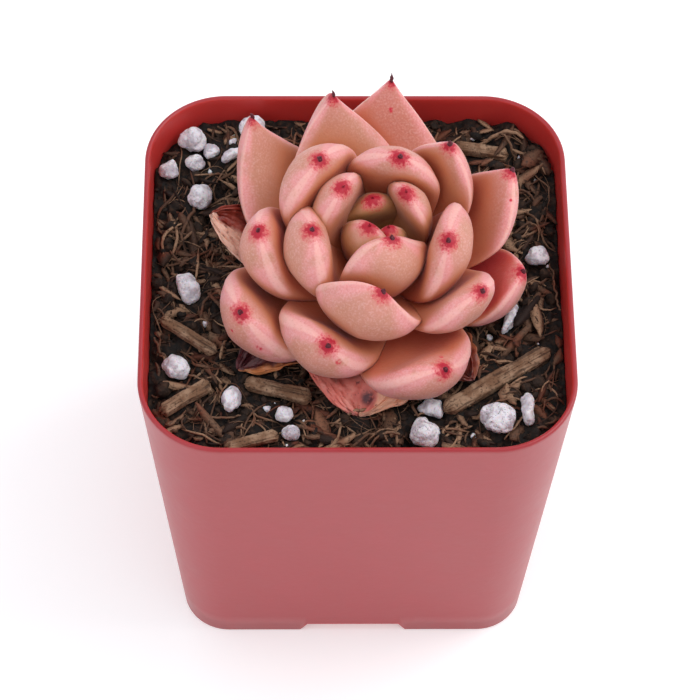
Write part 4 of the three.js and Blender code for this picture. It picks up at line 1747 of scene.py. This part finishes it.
@dataclass
class Grains:
    """The white perlite grains, lumpy and pitted."""

    count: int = 18
    specked: tuple[int, ...] = (12, 13, 15)
    pitch: float = 0.2
    lump: float = 0.6
    lump_size: float = 2.3
    knob: float = 0.22
    knob_size: float = 0.9
    pit: float = 0.2
    pit_size: float = 0.45
    pit_from: float = 0.2
    rounds: int = 4
    meshes: list[bpy.types.Mesh] = field(default_factory=list)

    def build(self) -> list[bpy.types.Mesh]:
        """Builds and dresses every grain.

        Returns:
            The meshes of the grains.
        """
        clean = PerliteFinish().material("perlite", False)
        dusty = PerliteFinish().material("specked_perlite", True)
        for number in range(1, self.count + 1):
            node = f"perlite_{number}"
            mesh = remeshed(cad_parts[node].data, self.pitch, self.rounds)
            mesh.name = f"white_grain_{number}"
            points = positions(mesh)
            shift = Vector((number * 5.3, 0, 0))
            moves = []
            for point in points:
                lump = noise.noise(Vector(point) / self.lump_size + shift) * self.lump
                knob = noise.noise(Vector(point) / self.knob_size + shift) * self.knob
                pit = max(noise.noise(Vector(point) / self.pit_size - shift) - self.pit_from, 0) * self.pit
                moves.append(lump + knob - 2 * pit)
            move_corners(mesh, points + normals(mesh) * np.array(moves)[:, None])
            piece = add_object(f"white_grain_{number}", mesh)
            seat(piece, Slot.PERLITE, dusty if number in self.specked else clean, node)
            self.meshes.append(mesh)
        return self.meshes


@dataclass
class Chips:
    """The large bark chips: fibrous along their length, cracked across and torn at their ends."""

    count: int = 6
    stations: int = 84
    sides: int = 40
    groove_depth: float = 0.24
    groove_pitch: float = 0.34
    crack_depth: float = 0.1
    crack_pitch: float = 0.8
    torn: float = 1.5
    end_margin: float = 0.1
    end_share: float = 0.06
    end_narrowing: float = 0.45
    least_radius: float = 0.1
    meshes: list[bpy.types.Mesh] = field(default_factory=list)

    def skin(self, solid: bpy.types.Mesh, seed: float) -> tuple[Points, Faces, list[float]]:
        """Makes a chip's skin, inside its solid in the frame.

        Args:
            solid: The frame's solid.
            seed: Which of many patterns is used.

        Returns:
            The points, the faces, and how deep each point lies in a groove or crack.
        """
        corners = positions(solid)
        middle = (corners.min(axis=0) + corners.max(axis=0)) / 2
        ways = np.linalg.svd(corners - middle, full_matrices=False)[2]
        ways[2] = np.cross(ways[0], ways[1])
        local = (corners - middle) @ ways.T
        tree = surface_tree([solid])
        start, end = local[:, 0].min() + self.end_margin, local[:, 0].max() - self.end_margin
        angles = np.linspace(0, 2 * math.pi, self.sides, endpoint=False)
        rings = []
        depths = [0.5]
        for share in np.linspace(0, 1, self.stations):
            ring = []
            near_end = 1 - smooth_step(min(share, 1 - share), 0.0, self.end_share)
            for angle in angles:
                side, height = math.cos(angle), math.sin(angle)
                tear = self.torn * abs(noise.noise(Vector((side * 2.2, height * 2.2, seed + round(share)))))
                x = lerp(start + tear, end - tear, share)
                origin = middle + x * ways[0]
                way = side * ways[1] + height * ways[2]
                hit = tree.ray_cast(Vector(origin), Vector(way))
                far = hit[3] if hit[0] is not None else 0.3
                place = way * far / self.groove_pitch
                groove = abs(noise.noise(Vector((x / 9, place @ ways[1], place @ ways[2] + seed))))
                groove = 1 - min(groove * 4, 1)
                crack = abs(noise.noise(Vector((x / self.crack_pitch, side * 0.5, seed + 5))))
                crack = (1 - min(crack * 9, 1)) * 0.6
                rounded = min(far**0.72 * 0.98, far)
                depth = self.groove_depth * groove + self.crack_depth * crack
                radius = max(rounded - depth, self.least_radius) * (1 - self.end_narrowing * near_end)
                ring.append(origin + way * radius)
                depths.append(max(groove, crack))
            rings.append(np.array(ring))
        depths.append(0.5)
        points, faces = loft(rings, rings[0].mean(axis=0), rings[-1].mean(axis=0))
        return points, faces, depths

    def build(self) -> list[bpy.types.Mesh]:
        """Builds and dresses every chip.

        Returns:
            The meshes of the chips.
        """
        finish = BarkFinish().material()
        for number in range(1, self.count + 1):
            node = f"bark_chip_{number}"
            points, faces, depths = self.skin(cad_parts[node].data, number * 7.1)
            mesh = make_mesh(f"bark_{number}", points, faces)
            store(mesh, "groove", depths)
            piece = add_object(f"bark_{number}", mesh)
            seat(piece, Slot.BARK, finish, node)
            self.meshes.append(mesh)
        return self.meshes


# The potting mix


@dataclass
class PottingMix:
    """The filled inside of the pot, with a lumpy top that gives way under what lies on it."""

    shape: PotShape
    axis: tuple[float, float] = (3.5, 1.0)
    level: float = 59.0
    floor_top: float = 3.5
    gap: float = 0.15
    edge_depth: float = 4.0
    hollow_depth: float = 3.2
    hollow: tuple[float, float] = (14.0, 22.0)
    bank_height: float = 0.9
    bank: tuple[float, float] = (12.0, 30.0)
    grit: tuple[tuple[float, float, float], ...] = ((2.6, 0.9, 0.3), (1.0, 0.5, 4.1), (0.5, 0.22, 8.7))
    sink: float = 0.5
    under: float = 30.0
    corner_steps: int = 36
    side_steps: int = 84
    rings: int = 62
    ring_power: float = 1.25

    def smooth_height(self, x: float, y: float) -> float:
        """Works out the height of the frame's soil.

        Args:
            x: The place.
            y: The place.

        Returns:
            The height in millimetres.
        """
        broad = 0.5 * math.sin(0.31 * x + 0.4) * math.cos(0.27 * y - 0.8)
        lumps = 0.38 * math.sin(0.92 * x - 0.55 * y + 1.3) + 0.3 * math.cos(0.7 * x + 1.06 * y)
        bank = self.bank_height * smooth_step(y, *self.bank)
        radius = math.hypot(x - self.axis[0], y - self.axis[1])
        return self.level + broad + lumps + bank - self.hollow_depth * (1 - smooth_step(radius, *self.hollow))

    def height(self, x: float, y: float) -> float:
        """Works out the height of the crumbly top.

        Args:
            x: The place.
            y: The place.

        Returns:
            The height in millimetres.
        """
        height = self.smooth_height(x, y)
        for pitch, depth, seed in self.grit:
            height += depth * noise.noise(Vector((x / pitch, y / pitch, seed)))
        return height - self.sink

    def build(self, lying: Iterable[bpy.types.Mesh]) -> bpy.types.Mesh:
        """Builds and dresses the filling.

        Args:
            lying: The meshes that lie on the mix or stand in it.

        Returns:
            Its mesh.
        """
        tree = surface_tree(lying)
        inset = self.shape.wall + self.gap
        steps = (self.corner_steps, self.side_steps)
        edge = self.shape.ring(self.level, inset, *steps)
        rings = [self.shape.ring(self.floor_top + self.gap, inset, *steps)]
        rings.append(self.shape.ring(self.level - self.edge_depth, inset, *steps))
        for ring in range(self.rings):
            share = 1 - (ring / self.rings) ** self.ring_power
            points = edge * [share, share, 1]
            for point in points:
                z = self.height(point[0], point[1])
                hit = tree.ray_cast(Vector((point[0], point[1], self.under)), Vector((0, 0, 1)))[0]
                point[2] = min(z, hit.z - self.gap) if hit else z
            rings.append(points)
        first = np.array([0, 0, self.floor_top + self.gap])
        last = np.array([0, 0, rings[-1][:, 2].mean()])
        mesh = make_mesh("potting_mix", *loft(rings, first, last))
        finish = MixFinish().material("potting_mix", False)
        seat(add_object("potting_mix", mesh), Slot.SOIL, finish, "soil")
        return mesh


@dataclass(frozen=True)
class LongRoot:
    """A long root: its radius, and the x, y and height over the mix of each place that it passes."""

    radius: float
    stops: tuple[tuple[float, float, float], ...]


LONG_ROOTS = (
    LongRoot(0.16, ((29.2, 4.0, 0.3), (29.6, 0.5, 1.0), (29.9, -3.0, 2.0), (30.2, -6.5, 3.0))),
    LongRoot(0.30, ((18.4, 25.4, 0.6), (21.5, 26.4, 1.0), (24.5, 26.6, 1.7), (26.0, 25.8, 2.4))),
    LongRoot(0.20, ((22.3, 26.4, 1.2), (24.2, 24.6, 0.9), (24.8, 21.7, 0.4))),
    LongRoot(0.22, ((-29.9, -10.0, 1.8), (-28.9, -12.0, 0.8), (-27.0, -13.6, 0.3))),
    LongRoot(0.13, ((17.9, -21.4, 0.6), (22.0, -20.9, 1.1), (27.2, -20.9, 0.7))),
    LongRoot(0.26, ((-27.1, 5.9, 0.3), (-26.0, 10.0, 0.7), (-24.4, 14.0, 0.6), (-21.5, 19.5, 0.3))),
    LongRoot(0.15, ((21.3, -26.7, 0.6), (25.0, -22.0, 0.9), (29.0, -15.5, 0.8))),
    LongRoot(0.24, ((-4.0, -24.1, 0.3), (-0.5, -22.6, 0.9), (2.6, -22.3, 0.7), (5.6, -23.4, 0.4))),
    LongRoot(0.18, ((-8.4, -24.4, 0.3), (-5.0, -23.6, 0.8), (-2.0, -24.6, 0.4))),
    LongRoot(0.16, ((8.4, -22.8, 0.3), (12.0, -22.0, 0.9), (16.5, -21.0, 0.5))),
    LongRoot(0.20, ((-29.5, -11.6, 0.4), (-26.5, -14.5, 0.8), (-22.5, -16.8, 0.4))),
    LongRoot(0.18, ((-25.9, -22.6, 0.4), (-21.0, -23.4, 0.8), (-15.7, -22.7, 0.4))),
    LongRoot(0.14, ((1.1, -27.1, 0.4), (3.2, -25.9, 0.9), (6.0, -25.8, 0.4))),
    LongRoot(0.12, ((18.0, -11.8, 0.4), (19.4, -13.4, 0.9), (21.4, -13.6, 0.5))),
)


@dataclass(frozen=True)
class SplinterSizes:
    """Ranges of the splinters' sizes in millimetres, and the draws that choose between them."""

    short: tuple[float, float] = (1.2, 4.0)
    long: tuple[float, float] = (3.0, 8.0)
    narrow: tuple[float, float] = (0.25, 1.3)
    broad: tuple[float, float] = (1.2, 2.6)
    thin: tuple[float, float] = (0.15, 0.45)
    stout: tuple[float, float] = (0.4, 0.8)
    short_below: float = 0.6
    broad_above: float = 0.88


@dataclass
class Litter:
    """What is scattered over the mix: crumbs, splinters, fibres and perlite dust."""

    shape: PotShape
    level: float = 59.0
    seed: int = 11
    crumbs: int = 1100
    splinters: int = 1500
    sizes: SplinterSizes = field(default_factory=SplinterSizes)
    fibres: int = 620
    fibre_radii: tuple[float, float] = (0.07, 0.26)
    hairs: int = 520
    hair_radii: tuple[float, float] = (0.03, 0.07)
    fibre_stops: int = 9
    root_stops: int = 26
    dust: int = 60
    reach: float = 31.0
    over: float = 75.0
    clearance: float = 0.12
    draw: random.Random = field(init=False)
    ground: BVHTree = field(init=False)
    above: BVHTree = field(init=False)

    def scatter(self, ground: bpy.types.Mesh, above: Iterable[bpy.types.Mesh]) -> None:
        """Scatters and dresses everything.

        Args:
            ground: The mix's mesh.
            above: The meshes that nothing may run into.
        """
        self.draw = random.Random(self.seed)
        self.ground = surface_tree([ground])
        self.above = surface_tree(above)
        self.scatter_crumbs()
        self.scatter_splinters()
        self.scatter_fibres("root_fibres", self.fibres, self.fibre_radii, 6)
        self.scatter_fibres("hair_roots", self.hairs, self.hair_radii, 4)
        self.lay_placed()
        self.scatter_dust()

    def ground_at(self, x: float, y: float) -> float | None:
        """Returns the height of the mix at a place, or None past its edge."""
        hit = self.ground.ray_cast(Vector((x, y, self.over)), Vector((0, 0, -1)))[0]
        return hit.z if hit else None

    def is_clear(self, point: Sequence[float], room: float) -> bool:
        """Finds out whether a point is outside the leaves and the other solids and clear of the wall.

        Args:
            point: The point.
            room: How far it has to be from them.

        Returns:
            Whether it is.
        """
        if self.shape.depth_inside(*point) < room:
            return False
        nearest = self.above.find_nearest(Vector(point), room)
        if nearest[0] is not None:
            return False
        ray = self.above.ray_cast(Vector(point), Vector((0, 0, 1)))
        return ray[0] is None or ray[1].z < 0

    def spot(self, room: float) -> tuple[float, float, float]:
        """Draws a place on the mix.

        Args:
            room: The clear room round it.

        Returns:
            The place.
        """
        while True:
            x, y = self.draw.uniform(-self.reach, self.reach), self.draw.uniform(-self.reach, self.reach)
            if self.shape.depth_inside(x, y, self.level) < room:
                continue
            z = self.ground_at(x, y)
            if z is not None and self.is_clear((x, y, z), room):
                return x, y, z

    def lump(self, size: float) -> tuple[Points, Faces]:
        """Makes a rough lump round the origin.

        Args:
            size: Its width.

        Returns:
            Its points and faces.
        """
        work = bmesh.new()
        bmesh.ops.create_icosphere(work, subdivisions=2 if size > 0.9 else 1, radius=0.5)
        points = np.array([corner.co[:] for corner in work.verts])
        faces = [tuple(corner.index for corner in face.verts) for face in work.faces]
        work.free()
        shift = Vector((self.draw.uniform(0, 99), 0, 0))
        swell = [1 + 0.7 * noise.noise(Vector(point) * 2.2 + shift) for point in points]
        flat = np.array([1, self.draw.uniform(0.6, 1), self.draw.uniform(0.45, 0.9)])
        return points * np.array(swell)[:, None] * flat * size, faces

    def turned(self, points: Points, tilt: float) -> Points:
        """Turns points at random about Z and tips them.

        Args:
            points: The points.
            tilt: The greatest tip in degrees.

        Returns:
            The turned points.
        """
        turn = Matrix.Rotation(self.draw.uniform(0, 2 * math.pi), 3, "Z")
        axis = Vector((self.draw.uniform(-1, 1), self.draw.uniform(-1, 1), 0.01)).normalized()
        tip = Matrix.Rotation(math.radians(self.draw.uniform(-tilt, tilt)), 3, axis)
        return points @ np.array(tip @ turn).T

    def scatter_crumbs(self) -> None:
        """Scatters crumbs of peat."""
        crumbs = Gathering()
        for _ in range(self.crumbs):
            size = 0.5 + 1.9 * self.draw.random() ** 2.2
            x, y, z = self.spot(size * 0.55)
            points, faces = self.lump(size)
            place = np.array([x, y, z + size * 0.12])
            crumbs.add(self.turned(points, 60) + place, faces, self.draw.random())
        piece = add_object("peat_crumbs", crumbs.mesh("peat_crumbs"))
        seat(piece, Slot.SOIL, MixFinish().material("peat_crumb", True))

    def splinter(self) -> Points:
        """Shapes one flat splinter round the origin, bowed and torn at its ends.

        Returns:
            Its rings.
        """
        sizes = self.sizes
        kind = self.draw.random()
        broad = kind > sizes.broad_above
        long = self.draw.uniform(*(sizes.short if kind < sizes.short_below else sizes.long))
        wide = self.draw.uniform(*(sizes.broad if broad else sizes.narrow))
        thick = self.draw.uniform(*(sizes.stout if broad else sizes.thin))
        bow, arch = self.draw.uniform(-0.8, 0.8), self.draw.uniform(-0.2, 0.7)
        twist = self.draw.uniform(-0.9, 0.9)
        blunt = self.draw.uniform(0.4, 1)
        rings = []
        for station in np.linspace(-0.5, 0.5, 7):
            half = wide / 2 * (1 - (2 * abs(station)) ** 3 * blunt) * self.draw.uniform(0.7, 1.1)
            tear = self.draw.uniform(-0.08, 0.08) * long
            turn = twist * station
            ring = []
            for side, height in ((1, 0.1), (0.2, 0.5), (-1, 0), (-0.1, -0.5)):
                flat, tall = half * side, thick * height
                across = flat * math.cos(turn) - tall * math.sin(turn)
                up = flat * math.sin(turn) + tall * math.cos(turn)
                shift = 4 * station**2
                sideways, down = bow * shift * 0.5, arch * shift * 0.5
                ring.append([station * long + tear * side, across + sideways, up - down])
            rings.append(np.array(ring)[::-1])
        return np.array(rings)

    def scatter_splinters(self) -> None:
        """Scatters flat splinters of bark."""
        splinters = Gathering()
        while splinters.count < self.splinters:
            rings = self.splinter()
            x, y, z = self.spot(0.7)
            points, faces = loft(rings, rings[0].mean(axis=0), rings[-1].mean(axis=0))
            points = self.turned(points, 24) + np.array([x, y, z + self.draw.uniform(0.05, 0.55)])
            if all(self.is_clear(point, self.clearance) for point in points[::4]):
                splinters.add(points, faces, self.draw.random() ** 1.1)
        piece = add_object("bark_splinters", splinters.mesh("bark_splinters"))
        seat(piece, Slot.BARK, FibreFinish().material("splinter"))

    def route(self, radius: float) -> Points | None:
        """Draws the route of one fibre over the mix.

        Args:
            radius: The fibre's radius.

        Returns:
            The route, or None where it would run into something.
        """
        length = self.draw.uniform(2.5, 11.0)
        bend = self.draw.uniform(-2.6, 2.6)
        arch = self.draw.uniform(0.0, 1.1)
        x, y, _ = self.spot(0.5)
        heading = self.draw.uniform(0, 2 * math.pi)
        steps = self.fibre_stops
        route = []
        for step in range(steps):
            ground = self.ground_at(x, y)
            if ground is None:
                return None
            rise = arch * math.sin(math.pi * step / (steps - 1))
            route.append([x, y, ground + radius * 0.5 + rise])
            x += math.cos(heading) * length / steps
            y += math.sin(heading) * length / steps
            heading += bend / steps + self.draw.uniform(-0.25, 0.25)
        smooth = np.array(route)
        smooth[1:-1, 2] = (smooth[:-2, 2] + smooth[1:-1, 2] + smooth[2:, 2]) / 3
        clear = all(self.is_clear(point, radius + 0.1) for point in smooth)
        return smooth if clear else None

    def scatter_fibres(self, name: str, count: int, radii: tuple[float, float], sides: int) -> None:
        """Scatters curved fibres that lie over the mix and dip into it.

        Args:
            name: Name of the piece.
            count: How many there are.
            radii: The least and greatest radius.
            sides: Number of sides of each.
        """
        fibres = Gathering()
        while fibres.count < count:
            radius = self.draw.uniform(*radii)
            route = self.route(radius)
            if route is not None:
                taper = np.sin(np.linspace(0.25, math.pi - 0.2, len(route))) ** 0.5
                fibres.add(*tube(route, radius * taper, sides), tint=self.draw.uniform(0.2, 1.0))
        piece = add_object(name, fibres.mesh(name))
        seat(piece, Slot.BARK, FibreFinish().material(name))

    def lay_placed(self) -> None:
        """Lays the long roots that stand out from the rest."""
        roots = Gathering()
        for root in LONG_ROOTS:
            stops = np.array(root.stops)
            shares = np.linspace(0, 1, self.root_stops)
            knots = np.linspace(0, 1, len(stops))
            fit = [np.polyfit(knots, column, min(len(stops) - 1, 3)) for column in stops.T]
            route = np.column_stack([np.polyval(curve, shares) for curve in fit])
            for point in route:
                wobble = noise.noise(Vector((point[0] * 0.8, point[1] * 0.8, 3.0)))
                point[0] += wobble * 0.5
                point[2] += self.mix_height(point[0], point[1]) + wobble * 0.3
            taper = np.sin(np.linspace(0.5, math.pi - 0.25, len(route))) ** 0.5
            roots.add(*tube(route, root.radius * taper, 8), tint=self.draw.uniform(0.55, 0.95))
        piece = add_object("long_roots", roots.mesh("long_roots"))
        seat(piece, Slot.BARK, FibreFinish().material("long_root"))

    def mix_height(self, x: float, y: float) -> float:
        """Returns the mix's height at a place, or its height at the edge where the place is past it."""
        ground = self.ground_at(x, y)
        return self.level if ground is None else ground

    def scatter_dust(self) -> None:
        """Scatters small bits of perlite."""
        bits = Gathering()
        for _ in range(self.dust):
            size = 0.35 + 1.1 * self.draw.random() ** 2
            x, y, z = self.spot(size * 0.6)
            points, faces = self.lump(size)
            bits.add(self.turned(points, 60) + np.array([x, y, z + size * 0.2]), faces, 0.5)
        piece = add_object("perlite_bits", bits.mesh("perlite_bits"))
        seat(piece, Slot.PERLITE, PerliteFinish().material("perlite_bit", False))


# The studio


@dataclass(frozen=True)
class Lamp:
    """One square lamp that faces the plant, with its place and width in metres."""

    name: str
    place: Colour
    size: float
    power: float
    tone: Colour

    def hang(self) -> None:
        """Hangs the lamp."""
        light = bpy.data.lights.new(self.name, "AREA")
        light.size = self.size
        light.energy = self.power
        light.color = self.tone
        lamp = bpy.data.objects.new(self.name, light)
        bpy.context.scene.collection.objects.link(lamp)
        towards = Vector((0, 0, 0.06)) - Vector(self.place)
        turn = towards.to_track_quat("-Z", "Y").to_matrix().to_4x4()
        lamp.matrix_world = Matrix.Translation(self.place) @ turn


LAMPS = (
    Lamp("key", (0.42, 0.1, 0.62), size=0.45, power=2.2, tone=(1.0, 0.98, 0.96)),
    Lamp("fill", (-0.45, -0.25, 0.6), size=0.6, power=0.8, tone=(0.96, 0.97, 1.0)),
)


@dataclass(frozen=True)
class Studio:
    """A pale floor, soft light all round and a camera that looks down on the pot."""

    elevation: float = 57.271
    yaw: float = -1.56
    roll: float = 1.277
    distance: float = 473.172
    aim_height: float = 32.164
    step_right: float = -0.579
    step_up: float = 4.918
    lens: float = 154.5
    sky: Colour = (0.93, 0.96, 1.0)
    sky_strength: float = 0.84
    floor_tone: Colour = (0.93, 0.93, 0.93)
    floor_glow: float = 0.26
    floor_reach: float = 2500.0
    floor_gap: float = 0.05

    def camera(self) -> None:
        """Sets up the camera."""
        tilt, yaw, roll = (math.radians(angle) for angle in (self.elevation, self.yaw, self.roll))
        flat = math.cos(tilt)
        back = Vector((math.sin(yaw) * flat, -math.cos(yaw) * flat, math.sin(tilt)))
        level = Vector((0, 0, 1)).cross(back).normalized()
        over = back.cross(level)
        right = level * math.cos(roll) + over * math.sin(roll)
        up = over * math.cos(roll) - level * math.sin(roll)
        eye = Vector((0, 0, self.aim_height)) + back * self.distance
        eye += right * self.step_right + up * self.step_up
        lens = bpy.data.cameras.new("camera")
        lens.lens = self.lens
        lens.sensor_width = 36
        lens.clip_start = 0.01
        camera = bpy.data.objects.new("camera", lens)
        bpy.context.scene.collection.objects.link(camera)
        turn = Matrix((right, up, back)).transposed().to_4x4()
        camera.matrix_world = Matrix.Translation(eye * MM) @ turn
        bpy.context.scene.camera = camera

    def build(self) -> None:
        """Sets up the floor, the light and the camera."""
        self.camera()
        reach, z = self.floor_reach, -self.floor_gap
        corners = np.array([[-reach, -reach, z], [reach, -reach, z], [reach, reach, z], [-reach, reach, z]])
        floor = add_object("floor", make_mesh("floor", corners, [(0, 1, 2, 3)]))
        paint = Shader("floor")
        paint.set(base_color=self.floor_tone, roughness=0.9, specular_ior_level=0.2)
        paint.set(emission_color=(1, 1, 1), emission_strength=self.floor_glow)
        floor.data.materials.append(paint.material)
        world = bpy.data.worlds.new("studio")
        world.use_nodes = True
        background = world.node_tree.nodes["Background"]
        background.inputs["Color"].default_value = (*self.sky, 1)
        background.inputs["Strength"].default_value = self.sky_strength
        bpy.context.scene.world = world
        for lamp in LAMPS:
            lamp.hang()
        bpy.context.scene.view_settings.view_transform = "Standard"


def main() -> None:
    """Builds the whole scene."""
    logging.basicConfig(level=logging.INFO, format="%(message)s")
    Studio().build()
    pot = Pot()
    pot.build()
    leaves = Rosette().build()
    grains = Grains().build()
    chips = Chips().build()
    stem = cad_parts["stem"]
    stem.material_slots[0].material = StemFinish().material()
    solids = [*leaves, *grains, *chips, stem.data]
    mix = PottingMix(pot.shape).build(solids)
    Litter(pot.shape).scatter(mix, solids)


if __name__ == "__main__":
    main()
